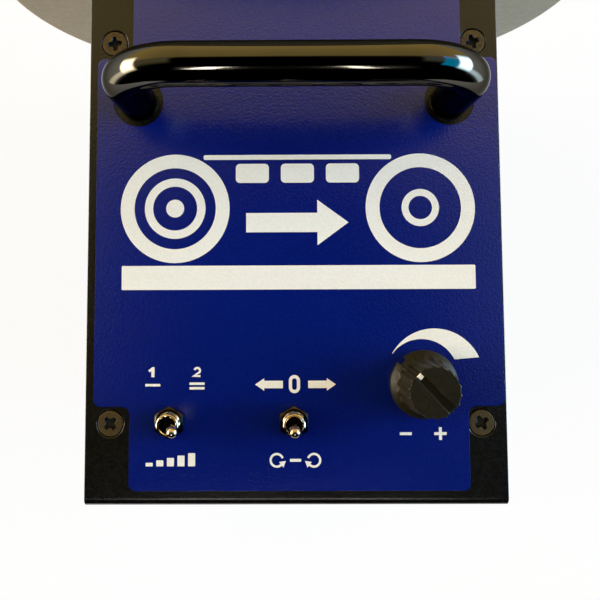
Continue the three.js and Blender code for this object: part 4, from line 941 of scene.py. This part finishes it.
def panel_signs():
    """Every sign on the overlay, as outlines in millimetres from its middle line and the operator's edge:
    how labels run from roll to roll, a bar, the two torque ranges, the spindle's direction with 0 between
    its arrows, and the level of torque."""
    signs = [level_wedge(), [box_outline(-49.9, 61.1, 51.9, 68.0, 0.3)]]
    signs += [arrow(-11.5, 34.15, -7.9), arrow(11.5, 34.15, 7.9)]
    zero = box_outline(-1.9, 31.7, 1.3, 36.8, 1.6, 8)
    signs.append([zero, offset(zero, 0.92)[::-1]])
    signs += threading_sign() + range_signs()
    # Under the first switch: steps of torque
    signs += [[box_outline(-42.5 + 3.0 * i, 11.4, -40.5 + 3.0 * i, 12.4 + 0.66 * i, 0.15)] for i in range(5)]
    # Under the second switch: either way round
    signs += turn_sign(-5.4, 13.0, 1.75, 20, 315) + turn_sign(5.1, 13.0, 1.75, 160, -135)
    signs.append([box_outline(-1.7, 12.6, 1.5, 13.4, 0.2)])
    # Under the knob: less and more
    signs.append([box_outline(29.4, 19.9, 32.8, 20.7, 0.1)])
    signs.append([plus_sign(40.9, 20.3, 1.75, 0.82)])
    return signs


class REWINDER_OT_overlay(bpy.types.Operator):
    """Lays the blue overlay on the cover and prints its white signs"""

    bl_idname = "rewinder.overlay"
    bl_label = "Panel overlay"

    def execute(self, context):
        size = sizes()
        low, high = box_of("panel_overlay")
        outline = overlay_outline(low, high, size("overlay_corner"), size("overlay_notch"))

        def on_panel(x, y, z):
            return x, y

        holes = holes_at(numbered("handle_bolt", 2), BOLT_HEAD_HOLE, on_panel, 72)
        holes += holes_at(SWITCH_NUTS, SWITCH_HOLE + FILM_GAP, on_panel)
        holes += holes_at(["potentiometer_nut"], DIAL_HOLE + FILM_GAP, on_panel)
        film = Piece()
        film.plate([outline, *holes], low[2], high[2], size("overlay_edge"), 2)
        film.done("panel_film", "case", "blue_overlay", ["Overlay film"], ["panel_overlay"])
        ink = Piece((0, box_of("top_cover")[0][1], high[2]))
        for loops in panel_signs():
            ink.plate(loops, -0.01, size("print_height"), 0.0, 1)
        ink.done("panel_print", "case", "blue_overlay", ["White ink"])
        return {"FINISHED"}


# Handle


class REWINDER_OT_handle(bpy.types.Operator):
    """Bends the round bar of the carrying handle"""

    bl_idname = "rewinder.handle"
    bl_label = "Carrying handle"

    def execute(self, context):
        """A circle carried along the bar's middle line, whose corners are arcs: each point is the line's
        point plus radius * (cos t * outward + sin t * across). The ends are closed and a little rounded."""
        low, high = box_of("carry_handle")
        radius = (high[1] - low[1]) / 2
        middle = (low + high) / 2
        left, right, top = low[0] + radius, high[0] - radius, high[2] - radius
        bend = 17
        line = fillet([(left, low[2]), (left, top, bend), (right, top, bend), (right, low[2])], 32, False)

        def between(start, end, count):
            return line[start] + (line[end] - line[start]) * np.linspace(0, 1, count)[1:-1, None]

        half = len(line) // 2
        parts = [line[:1], between(0, 1, 12), line[1:half], between(half - 1, half, 40), line[half:-1]]
        line = np.vstack([*parts, between(-2, -1, 12), line[-1:]])
        outward = left_of(unit(np.gradient(line, axis=0)))
        t = round_angles(72)
        x, z = (line[:, i, None] + radius * np.cos(t) * outward[:, i, None] for i in (0, 1))
        tube = np.stack([x, middle[1] + radius * np.sin(t) + 0 * x, z], -1)
        rims = []
        for end in (0, -1):
            centre = np.array([line[end, 0], middle[1], line[end, 1]])
            rims.append(np.stack([centre + (tube[end] - centre) * share for share in (0, 0.94)]))
            rims[-1][1, :, 2] = low[2]
        tube[[0, -1], :, 2] = low[2] + 0.35
        piece = Piece()
        piece.grid(np.concatenate([rims[0], tube, rims[1][::-1]]))
        piece.done("carry_bar", "case", "dark_chrome", ["Dark chrome"], ["carry_handle"], 50)
        return {"FINISHED"}


# Switches

# Widths: the bushing over its thread and its bore, and the nut across its flats and its bore
BUSHING = 6.35
BUSHING_BORE = 4.5
NUT_FLATS = 7.9
NUT_BORE = 6.6


def hexagon_radius(t, flats):
    """The hexagon's edge at angle t: half the flats over cos of the angle from the nearest flat's middle."""
    return flats / 2 / np.cos((t + math.pi / 6) % (math.pi / 3) - math.pi / 6)


def hex_nut(piece, flats, bore, low, high):
    """A nut whose corners are cut by a 30 degree cone: where the edge passes the cone's circle, its top
    drops by the distance times tan 30."""
    t = round_angles(144)
    edge = hexagon_radius(t, flats)
    round_edge = flats / 2 * 0.98
    drop = np.maximum(edge - round_edge, 0) * math.tan(math.pi / 6)
    cut, inner = np.minimum(edge, round_edge), bore / 2
    rows = [
        (inner + 0.25, high), (cut, high), (edge, high - drop), (edge, low + drop * 0.4), (cut, low),
        (inner + 0.2, low), (inner, low + 0.2), (inner, high - 0.25), (inner + 0.25, high),
    ]
    piece.grid(np.stack([around(radius, t, height) for radius, height in rows]))


def bushing(piece, diameter, bore, low, high, pitch, floor):
    """A threaded tube with a rounded mouth. The thread's radius is R - depth * |2 frac(z / pitch - t / 2 pi)
    - 1|, and fades out below the mouth."""
    radius, inner, depth = diameter / 2, bore / 2, 0.26
    neck = high - 0.75
    t = round_angles(96)
    z = np.linspace(low, neck, int((high - low) / pitch * 10))[:, None]
    wave = np.abs(2 * ((z / pitch - t / TAU) % 1) - 1)
    piece.grid(around(radius - depth * wave * np.clip((neck - z) / 0.4, 0, 1), t, z))
    mouth = [(radius, neck), (radius, high, 0.55), (inner, high, 0.4), (inner, high - 1.2)]
    piece.lathe(fillet(mouth, 6, False))
    # The bore's wall and floor take the second finish: nickel darkened as painted shade in the hole
    piece.lathe([(inner, high - 1.2), (inner, floor), (0, floor)], finish=1)
    piece.lathe([(radius, low), (0, low)])


class REWINDER_OT_switches(bpy.types.Operator):
    """Makes both toggle switches: body with its threaded bushing, nut and lever"""

    bl_idname = "rewinder.switches"
    bl_label = "Toggle switches"

    def execute(self, context):
        pitch = sizes()("thread_pitch")
        pivot = box_of("panel_overlay")[1][2] + 2.2
        for name, tilt in (("torque", math.radians(13)), ("direction", 0.0)):
            nut_low, nut_high = box_of(f"{name}_switch_nut")
            low, high = box_of(f"{name}_switch_case")
            axis = middle_of(f"{name}_switch_nut")[:2]
            case_low, case_top = low[2] + 5, low[2] + 15
            piece = Piece((*axis, 0))
            bushing(piece, BUSHING, BUSHING_BORE, case_top, high[2], pitch, high[2] - 5.9)
            piece.plate([box_outline(-6.5, -6, 6.5, 6, 0.8)], case_low, case_top, 0.4, finish=2)
            for x in (-4.2, 0, 4.2):
                for y in (-3, 3):
                    pin = box_outline(x - 0.4, y - 1, x + 0.4, y + 1, 0.1)
                    piece.plate([pin], low[2], case_low + 0.5, 0.1, 1)
            finishes = ["Nickel plate", "Nickel bore painted shade", "Black plastic"]
            piece.done(f"{name}_switch_body", "case", "switch_nickel", finishes, [f"{name}_switch_case"])
            # The nut takes nickel darkened all over: a painted dark reflection
            nut = Piece((*axis, 0))
            hex_nut(nut, NUT_FLATS, NUT_BORE, nut_low[2], nut_high[2])
            nut_node = f"{name}_switch_nut"
            nut.done(f"{name}_switch_hex", "case", "switch_nickel", ["Nickel painted with dark reflection"], [nut_node], 25)
            self.lever(name, (*axis, pivot), tilt)
        return {"FINISHED"}

    def lever(self, name, pivot, tilt):
        """A ball, a slim neck and a bat that grows to a domed tip: radius against height, turned about the
        lever's own line, which leans from the pivot by the tilt."""
        ball = arc((0, 0), 1.9, -90, 56, 14)
        bat = fillet([(1.06, 1.6), (1.05, 3.2, 3), (1.48, 11.2, 4), (1.42, 13.6, 1.38), (0, 13.6)], 9, False)
        profile = np.vstack([ball, bat])
        c, s = math.cos(tilt), math.sin(tilt)
        turned = around(np.maximum(profile[:, :1], 0), round_angles(64), profile[:, 1:])
        piece = Piece(pivot)
        piece.grid(turned @ np.array([[c, 0, -s], [0, 1, 0], [s, 0, c]]))
        finishes, node = ["Nickel plate"], f"{name}_switch_lever"
        piece.done(f"{name}_switch_bat", f"{name}_lever", "switch_nickel", finishes, [node], 50)


# Torque knob


class REWINDER_OT_knob(bpy.types.Operator):
    """Makes the fluted torque knob with its skirt, pointer groove and white dot"""

    bl_idname = "rewinder.knob"
    bl_label = "Torque knob"

    def execute(self, context):
        """Angles are shared by the side and the top. The side's radius is the body's taper less the flutes'
        depth, and less the groove where |x| is under half its width on the pointer's side. The top's lines
        join the angles t and -t, so that the groove's walls follow them."""
        chosen = context.scene.rewinder_sizes
        low, high = box_of("torque_knob")
        height = high[2] - low[2]
        half = chosen.knob_groove / MM / 2
        top, body, skirt, bevel, deep, socket = 7.1, 7.8, 9.6, 0.55, 0.75, 6.05
        rim, shoulder = top - bevel, height - bevel

        def groove(x):
            return deep * np.clip((half + 0.06 - np.abs(x)) / 0.2, 0, 1)

        walls = np.arccos(np.clip(np.array([half, half - 0.12, half - 0.2, half + 0.14]) / rim, -1, 1))
        extra = np.r_[walls, math.pi - walls]
        right = np.unique(np.round(np.r_[np.linspace(0, math.pi, 217), extra], 5))
        t = np.r_[right, TAU - right[-2:0:-1]]
        # Side: radius, height and share of the flutes' depth, from the rim of the top down over the skirt
        bevels = np.radians([0, 30, 60, 90])
        rows = [(rim + bevel * math.sin(a), shoulder + bevel * math.cos(a), min(a / 1.2, 1)) for a in bevels]
        rows += [(top + (body - top) * s, shoulder - (shoulder - 3.4) * s, 1) for s in (0.25, 0.5, 0.75, 1)]
        rows += [
            (body + 0.12, 2.95, 0.6), (body + 0.45, 2.62, 0), (skirt - 0.7, 1.95, 0), (skirt - 0.12, 1.45, 0),
            (skirt, 1.2, 0), (skirt, 0.25, 0), (skirt - 0.2, 0, 0),
        ]
        flute = 0.5 + 0.5 * np.cos(chosen.knob_flutes * (t - math.pi / 2) + math.pi)
        grid = []
        for radius, z, share in rows:
            notch = (np.sin(t) > 0) & (np.abs(radius * np.cos(t)) < half)
            cut = (1.1 if z < 2.8 else deep) * (1.0 if z < height - 0.9 else 0.6)
            level = z - groove(rim * np.cos(t)) * (z > shoulder - 0.01)
            grid.append(around(radius - 0.52 * flute**0.7 * share - notch * cut, t, level))
        grid += [around(socket, t, 0), around(socket, t, 2.4), around(0, t, 2.4)]
        turn = math.radians(43)
        c, s = math.cos(turn), math.sin(turn)
        spin = np.array([[c, s, 0], [-s, c, 0], [0, 0, 1]])
        piece = Piece((*middle_of("torque_knob")[:2], low[2]))
        piece.grid(np.stack(grid) @ spin)
        x = rim * np.cos(right)
        y = np.sqrt(np.maximum(rim**2 - x**2, 0)) * np.linspace(-1, 1, 25)[:, None]
        face = np.stack([x + 0 * y, y, height - groove(x) + 0 * y], -1)
        piece.grid(face @ spin, False)
        piece.done("torque_knob_grip", "torque_dial", "black_plastic", ["Knob plastic"], ["torque_knob"], 38)
        dot = Piece(piece.centre)
        outline = circle(0.98, (spin.T @ (0, 5.55, 0))[:2], 4)
        dot.plate([outline], height - deep - 0.02, height - deep + 0.28, 0.12, 3)
        dot.done("torque_knob_dot", "torque_dial", "pale_plastic", ["White ink"])
        return {"FINISHED"}


# Spindle side


def on_spindle(node):
    """A piece that faces front on the spindle's axis from a node's near end, with the node's outer radius
    and its length."""
    x, _, z = middle_of("spindle_shaft")
    low, high = box_of(node)
    return Piece((x, low[1], z), "front"), (high[0] - low[0]) / 2, high[1] - low[1]


class REWINDER_OT_spindle(bpy.types.Operator):
    """Makes the front bearing housing, the spindle hub and the guide disc"""

    bl_idname = "rewinder.spindle"
    bl_label = "Spindle and disc"

    def execute(self, context):
        self.housing()
        self.hub()
        self.disc()
        return {"FINISHED"}

    def housing(self):
        """A turned flange with softened edges and four pan screws, and the barrel behind it."""
        x, _, z = middle_of("spindle_shaft")
        depth, bore, flange, barrel, seat = 16, 10, 25, 17, 14.15
        face = box_of("front_bearing")[0][1] + depth
        corners = [
            (bore, 0, 0.5), (flange, 0, 0.8), (flange, -5, 0.3), (barrel, -5), (barrel, -depth, 0.4),
            (seat, -depth, 0.3), (seat, -7.85), (bore, -7.85), (bore, 0, 0.5),
        ]
        piece = Piece((x, face, z), "front")
        piece.lathe(fillet(corners, 4, False), 128)
        spread = 20.5
        for quarter in range(4):
            angle = math.pi / 4 + quarter * math.pi / 2
            piece.stand((x + spread * math.cos(angle), face - 0.1, z + spread * math.sin(angle)))
            pan(piece, 6, 3, 9, 0.3 + quarter)
        finishes = ["Turned aluminium", "Painted shade of screw recess"]
        piece.done("spindle_housing", "case", "aluminium", finishes, ["front_bearing_housing"], 30)

    def hub(self):
        """A turned boss and a broad flange behind the disc, and a spigot through it."""
        piece, _, end = on_spindle("spindle_hub")
        disc = box_of("guide_disc")[0][1] - piece.centre[1] - 0.15
        bore, boss, flange, spigot = 6.15, 14, 43, 28.85
        corners = [
            (bore, 0, 0.4), (boss, 0, 0.4), (boss, disc - 5, 0.5), (flange, disc - 5, 0.8),
            (flange, disc, 0.3), (spigot, disc), (spigot, end, 0.5), (bore, end, 0.3), (bore, 0, 0.4),
        ]
        piece.lathe(fillet(corners, 4, False), 160)
        piece.done("spindle_flange", "spindle", "aluminium", ["Turned aluminium"], ["spindle_hub"], 30)

    def disc(self):
        """A broad flat disc with a rounded rim, and the shallow recess that the chuck sits in."""
        piece, radius, thick = on_spindle("guide_disc")
        bore, recess = 29, 43.3
        corners = [
            (bore, 0, 0.3), (radius, 0, 1.4), (radius, thick, 1.4), (recess, thick, 0.2),
            (recess, thick - 1), (bore, thick - 1), (bore, 0, 0.3),
        ]
        piece.lathe(fillet(corners, 6, False), 288)
        piece.done("winding_disc", "spindle", "pale_plastic", ["Pale plastic"], ["guide_disc"], 30)


# Chuck


def about_spindle(angle):
    """Turns (x, y, height) that face front into the place at an angle from the top of the spindle."""
    c, s = math.cos(angle), math.sin(angle)
    return np.array([[c, -s, 0], [s, c, 0], [0, 0, 1]])


class REWINDER_OT_chuck(bpy.types.Operator):
    """Makes the core chuck: its body, three jaws, its screws, the knob and the knob's screw"""

    bl_idname = "rewinder.chuck"
    bl_label = "Core chuck"

    def execute(self, context):
        self.body()
        self.jaws()
        self.knob()
        for number, node in enumerate(numbered("chuck_screw", 3), 1):
            low, high = box_of(node)
            x, _, z = middle_of(node)
            piece = Piece((x, high[1], z), "front")
            countersunk(piece, high[0] - low[0], SCREW_SHANK, high[1] - low[1], 0.5 * number)
            name = f"chuck_flange_screw_{number}"
            piece.done(name, "spindle", "zinc", PLATED_FINISHES, [node], 30)
        return {"FINISHED"}

    def body(self):
        """A turned flange and tube, closed at the end, with three slots and three countersinks cut in it."""
        piece, _, end = on_spindle("chuck_body")
        inner, flange, tube, bore, wall = 29, 43, 33, 8.15, 4
        corners = [
            (inner, 0, 0.4), (flange, 0, 0.5), (flange, 5, 0.9), (tube, 5, 1.2), (tube, end, 1.4),
            (bore, end, 0.5), (bore, end - wall), (inner, end - wall), (inner, 0, 0.4),
        ]
        piece.lathe(fillet(corners, 4, False), 160)
        outline = box_outline(-7, 10, 7, end - 7, 1.5)
        upright = FACING["front"]
        cutters = []
        for third, node in enumerate(numbered("chuck_screw", 3)):
            turn = upright @ about_spindle(third * TAU / 3).T
            slot = Piece(piece.centre, "front")
            slot.plate([outline], 15, 40, 0.0, 1, lambda points, turn=turn: points @ turn)
            x, _, z = middle_of(node)
            sink = Piece((x, piece.centre[1] + 5, z), "front")
            sink.lathe([(0, -9), (2.1, -9), (2.1, -2.3), (3.9, -0.5), (3.9, 1), (0, 1)], 48)
            cutters += [slot, sink]
        finishes = ["Turned aluminium"]
        piece.done("chuck_drum", "spindle", "aluminium", finishes, ["chuck_body"], 30, 0.25, cutters)

    def jaws(self):
        """Bars whose crown is an arc about the spindle, with grooves along it, and a nose towards the cam."""
        centre = on_spindle("chuck_jaw_1")[0].centre
        low, high = box_of("chuck_jaw_1")
        nose, top, stem, shoulder, roof = 3, 34.5, 6.7, 8.5, 22.9
        base, step = low[2] - centre[2] + 0.12, roof - 3.6
        grooves = []
        for x in (3.6, 0, -3.6):
            rise = math.sqrt(top**2 - x**2)
            right = [(x + 0.95, rise, 0.15), (x + 0.7, rise - 0.85, 0.2)]
            grooves += right + mirror(right, x)
        right = [
            (nose, base, 0.6), (nose, step, 0.3), (shoulder, step, 0.3), (shoulder, roof, 0.4),
            (stem, roof, 0.3), (stem, math.sqrt(top**2 - stem**2), 0.6),
        ]
        outline = fillet([*right, *grooves, *mirror(right)], 3)
        flip = np.diag([1.0, -1.0, 1.0])
        for third, node in enumerate(numbered("chuck_jaw", 3)):
            turn = (about_spindle(third * TAU / 3) @ flip).T
            piece = Piece(centre, "front")
            piece.plate([outline], 0, high[1] - low[1], 0.5, 3, lambda points, turn=turn: points @ turn)
            name, body = f"chuck_grip_{third + 1}", f"jaw_{third + 1}"
            piece.done(name, body, "black_plastic", ["Black plastic"], [node], 30)

    def knob(self):
        """A grip with six soft lobes: its radius is R - depth / 2 * (1 - cos 6 t), its rims are quarter
        circles, and its face has a dished ring round the screw."""
        piece, radius, thick = on_spindle("chuck_knob")
        t = round_angles(288)
        edge = radius - 1.5 * (1 - np.cos(6 * t))
        soft, bore, shank, deep = 2.5, 8.15, 2.3, 7.0
        a = np.linspace(0, math.pi / 2, 7)
        inset, rise = soft - soft * np.sin(a), soft - soft * np.cos(a)
        rows = [(bore, deep), (bore, 0.6), (8.8, 0)]
        rows += [(edge - i, r) for i, r in zip(inset, rise)]
        rows += [(edge - i, thick - r) for i, r in zip(rise, inset)]
        rows += [
            (19.5, thick), (18.9, thick - 0.2), (18.0, thick - 1.1), (9.6, thick - 1.1), (9.0, thick - 0.9),
            (8.4, thick - 0.3), (7.6, thick), (6.2, thick), (5.9, thick - 0.4), (5.9, thick - 8),
            (shank, thick - 8), (shank, deep), (bore, deep),
        ]
        piece.grid(np.stack([around(r, t, height) for r, height in rows]))
        piece.done("chuck_grip_knob", "chuck_control", "black_plastic", ["Black plastic"], ["chuck_knob"], 36)
        screw, half, length = on_spindle("chuck_knob_screw")
        height = 2 * half * PAN_HEIGHT
        screw.stand(screw.centre + (0, length - height, 0))
        pan(screw, 2 * half, 4, length - height, 0.6)
        screw.done("chuck_grip_screw", "chuck_control", "zinc", PLATED_FINISHES, ["chuck_knob_screw"], 30)


# Inlet and the solids that stay

# The frame's own solids that keep their shape, and the finish of each
KEPT_SOLIDS = {
    "handle_bolt_1": "Zinc plate", "handle_bolt_2": "Zinc plate", "potentiometer": "Zinc plate",
    "potentiometer_nut": "Nickel plate", "potentiometer_shaft": "Turned aluminium",
    "rear_bearing_housing": "Turned aluminium", "front_bearing": "Turned steel",
    "rear_bearing": "Turned steel", "spindle_shaft": "Turned steel", "shaft_collar": "Zinc plate",
    "drive_bracket": "Bright steel", "gearbox": "Zinc plate", "gearbox_shaft": "Turned steel",
    "drive_motor": "Bright steel", "main_gear": "Nylon", "motor_pinion": "Brass", "chuck_cam": "Nylon",
    "control_board": "Green board", "motor_lead": "Red lead", "inlet_lead": "Black lead",
    "control_loom": "Black lead",
}


class REWINDER_OT_electrics(bpy.types.Operator):
    """Makes the power inlet in the rear wall"""

    bl_idname = "rewinder.electrics"
    bl_label = "Power inlet"

    def execute(self, context):
        """A turned socket: flange, barrel and centre pin, with two snap wings and two tabs behind."""
        x, _, z = middle_of("power_inlet")
        corners = [
            (0, 1, 0), (0.6, 1, 0.3), (1, 0.6, 0.3), (1, -10), (3.2, -10), (3.2, 1.6, 0), (3.5, 2, 0.15),
            (6.6, 2, 0.9), (7.5, 1.1, 0.8), (7.5, 0, 0.2), (5.5, 0), (5.5, -13, 0.6), (0, -13),
        ]
        piece = Piece((x, box_of("power_inlet")[0][1] + 2, z), "rear")
        piece.lathe(fillet(corners, 4, False))
        for wing, tab in ((-5.5, -2.5), (5.5, 2.5)):
            piece.plate([box_outline(wing - 1.2, -2, wing + 1.2, 2, 0.4)], -6.3, -2.3, 0.4)
            piece.plate([box_outline(tab - 1, -0.4, tab + 1, 0.4, 0.1)], -18, -12, 0.1, 1, finish=1)
        finishes = ["Black plastic", "Nickel plate"]
        piece.done("power_socket", "case", "black_plastic", finishes, ["power_inlet"])
        return {"FINISHED"}


class REWINDER_OT_kept_solids(bpy.types.Operator):
    """Gives the frame's inner solids their finishes"""

    bl_idname = "rewinder.kept_solids"
    bl_label = "Inner solids"

    def execute(self, context):
        for node, name in KEPT_SOLIDS.items():
            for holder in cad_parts[node].material_slots:
                holder.link = "OBJECT"
                holder.material = finish(name)
        return {"FINISHED"}


# Stage

# Camera: its turns about x, y and z in degrees, from looking straight down, and its place in millimetres
CAMERA_TURNS = (4.04501, 0.36442, -0.22501)
CAMERA_PLACE = (-4.28, -86.02, 363.43)
CAMERA_LENS = 41.19
CAMERA_SHIFT = (0.0406, -0.1116)


def lamp(name, x, size, power):
    """A rectangular lamp over the operator's end, that looks at the top of the case."""
    light = bpy.data.lights.new(name, "AREA")
    light.shape = "RECTANGLE"
    light.size, light.size_y = size
    light.energy = power
    light.color = (1.0, 0.95, 0.88)
    holder = bpy.data.objects.new(name, light)
    bpy.context.scene.collection.objects.link(holder)
    place = Vector((x, -0.84, 1.2))
    aim = Vector((0, -0.03, 0.2))
    turned = (place - aim).to_track_quat("Z", "Y")
    holder.matrix_world = Matrix.LocRotScale(place, turned, None)


class REWINDER_OT_stage(bpy.types.Operator):
    """Sets up the camera, the floor, the lamps and the world"""

    bl_idname = "rewinder.stage"
    bl_label = "Stage"

    def execute(self, context):
        self.camera(context)
        self.floor()
        self.world(context)
        lamp("tube_left", -0.152, (0.052, 0.26), 0.8)
        lamp("tube_right", 0.16, (0.038, 0.26), 0.6)
        context.scene.view_settings.view_transform = "Standard"
        return {"FINISHED"}

    def camera(self, context):
        camera = bpy.data.cameras.new("camera")
        camera.lens, camera.sensor_width = CAMERA_LENS, 36
        camera.shift_x, camera.shift_y = CAMERA_SHIFT
        camera.clip_start = 0.01
        holder = bpy.data.objects.new("camera", camera)
        context.scene.collection.objects.link(holder)
        turned = Euler(np.radians(CAMERA_TURNS))
        holder.matrix_world = Matrix.LocRotScale(Vector(CAMERA_PLACE) * MM, turned, None)
        context.scene.camera = holder

    def floor(self):
        """A pale floor. Seen or mirrored, most of it is a plain white, so that it keeps a faint shadow."""
        work = bmesh.new()
        narrow = Matrix.Diagonal((0.57, 1, 1, 1))
        bmesh.ops.create_grid(work, x_segments=1, y_segments=1, size=0.6, matrix=narrow)
        mesh = bpy.data.meshes.new("floor")
        work.to_mesh(mesh)
        work.free()
        mesh.materials.append(self.floor_finish())
        link("floor", mesh)

    def floor_finish(self):
        material = bpy.data.materials.new("Floor")
        nodes = fresh_tree(material)
        path = nodes.add("ShaderNodeLightPath", None, None).outputs
        seen = nodes.math("MAXIMUM", path["Is Glossy Ray"], path["Is Transmission Ray"])
        seen = nodes.math("MAXIMUM", path["Is Camera Ray"], seen)
        matt = nodes.add("ShaderNodeBsdfDiffuse", {"Color": (0.92, 0.92, 0.92)})
        plain = nodes.add("ShaderNodeEmission", {"Color": (1.0, 1.0, 1.0), "Strength": 1.0})
        mixed = nodes.add("ShaderNodeMixShader", {0: nodes.product(seen, 0.9), 1: matt, 2: plain})
        nodes.add("ShaderNodeOutputMaterial", {"Surface": mixed}, None)
        return material

    def world(self, context):
        """The room: a low bright panel on either side, warm at -x and cool at +x, with a blue one above the
        right one, dim sides, a brown wall at +y that is brightest low down, and dark overhead and behind the
        operator. The camera and what is seen through glass meet a plain white, and so do mirrored rays near
        the horizon, but for the operator's side."""
        world = bpy.data.worlds.new("studio")
        context.scene.world = world
        nodes = fresh_tree(world)
        way = nodes.add("ShaderNodeTexCoord", None, "Generated")
        x, y, z = nodes.add("ShaderNodeSeparateXYZ", {0: way}, None).outputs
        black = (0.0, 0.0, 0.0)
        aside, right = nodes.math("ABSOLUTE", x), nodes.remap(x, -0.3, 0.3)
        panels = nodes.mix(right, (21.0, 18.5, 14.0), (15.0, 20.0, 25.0))
        spread = nodes.product(
            nodes.remap(aside, 0.45, 0.6), nodes.remap(z, 0.42, 0.34),
            nodes.remap(y, -0.4, -0.15), nodes.remap(y, 0.5, 0.3),
        )
        dim = nodes.mix(right, (0.5, 0.42, 0.24), (0.36, 0.38, 0.34))
        dim = nodes.mix(nodes.remap(aside, 0.17, 0.36), black, dim)
        dim = nodes.mix(nodes.remap(y, -0.25, 0.0), black, dim)
        off_middle = nodes.math("ABSOLUTE", nodes.math("ADD", y, 0.02))
        blue = nodes.product(
            nodes.remap(off_middle, 0.34, 0.3), nodes.remap(x, 0.6, 0.62), nodes.remap(z, 0.72, 0.7)
        )
        dim = nodes.mix(blue, dim, (0.0, 1.5, 3.0))
        panels = nodes.mix(spread, dim, panels)
        wall = nodes.mix(nodes.remap(z, 0.88, 0.2), (0.95, 0.7, 0.24), (1.6, 1.12, 0.36))
        wall = nodes.mix(nodes.remap(y, 0.12, 0.32), black, wall)
        tint = nodes.mix(1.0, panels, wall, "LIGHTEN")
        room = nodes.add("ShaderNodeBackground", {"Color": tint, "Strength": nodes.remap(z, 0.97, 0.935)})
        white = nodes.add("ShaderNodeBackground", {"Color": (1.0, 1.0, 1.0), "Strength": 1.0})
        path = nodes.add("ShaderNodeLightPath", None, None).outputs
        low = nodes.product(nodes.remap(z, 0.06, 0.0), nodes.remap(y, -0.5, -0.1), path["Is Glossy Ray"])
        plain = nodes.math("MAXIMUM", path["Is Camera Ray"], path["Is Transmission Ray"])
        mixed = nodes.add("ShaderNodeMixShader", {0: nodes.math("MAXIMUM", plain, low), 1: room, 2: white})
        nodes.add("ShaderNodeOutputWorld", {"Surface": mixed}, None)


# Add-on

OPERATORS = (
    REWINDER_OT_stage, REWINDER_OT_case, REWINDER_OT_overlay, REWINDER_OT_screws, REWINDER_OT_handle,
    REWINDER_OT_switches, REWINDER_OT_knob, REWINDER_OT_spindle, REWINDER_OT_chuck, REWINDER_OT_electrics,
    REWINDER_OT_kept_solids,
)


class REWINDER_PT_sidebar(bpy.types.Panel):
    """The sizes, the colours and the steps of the rewinder"""

    bl_label = "Label rewinder"
    bl_idname = "REWINDER_PT_sidebar"
    bl_space_type = "VIEW_3D"
    bl_region_type = "UI"
    bl_category = "Rewinder"

    def draw(self, context):
        for group in (context.scene.rewinder_sizes, context.scene.rewinder_colours):
            for name in group.bl_rna.properties.keys():
                if name not in ("rna_type", "name"):
                    self.layout.prop(group, name)
        for operator in OPERATORS:
            self.layout.operator(operator.bl_idname)


CLASSES = (RewinderSizes, RewinderColours, *OPERATORS, REWINDER_PT_sidebar)


def register():
    for each in CLASSES:
        bpy.utils.register_class(each)
    bpy.types.Scene.rewinder_sizes = PointerProperty(type=RewinderSizes)
    bpy.types.Scene.rewinder_colours = PointerProperty(type=RewinderColours)


def unregister():
    del bpy.types.Scene.rewinder_sizes
    del bpy.types.Scene.rewinder_colours
    for each in reversed(CLASSES):
        bpy.utils.unregister_class(each)


def main():
    register()
    for operator in OPERATORS:
        group, name = operator.bl_idname.split(".")
        getattr(getattr(bpy.ops, group), name)()


if __name__ == "__main__":
    main()
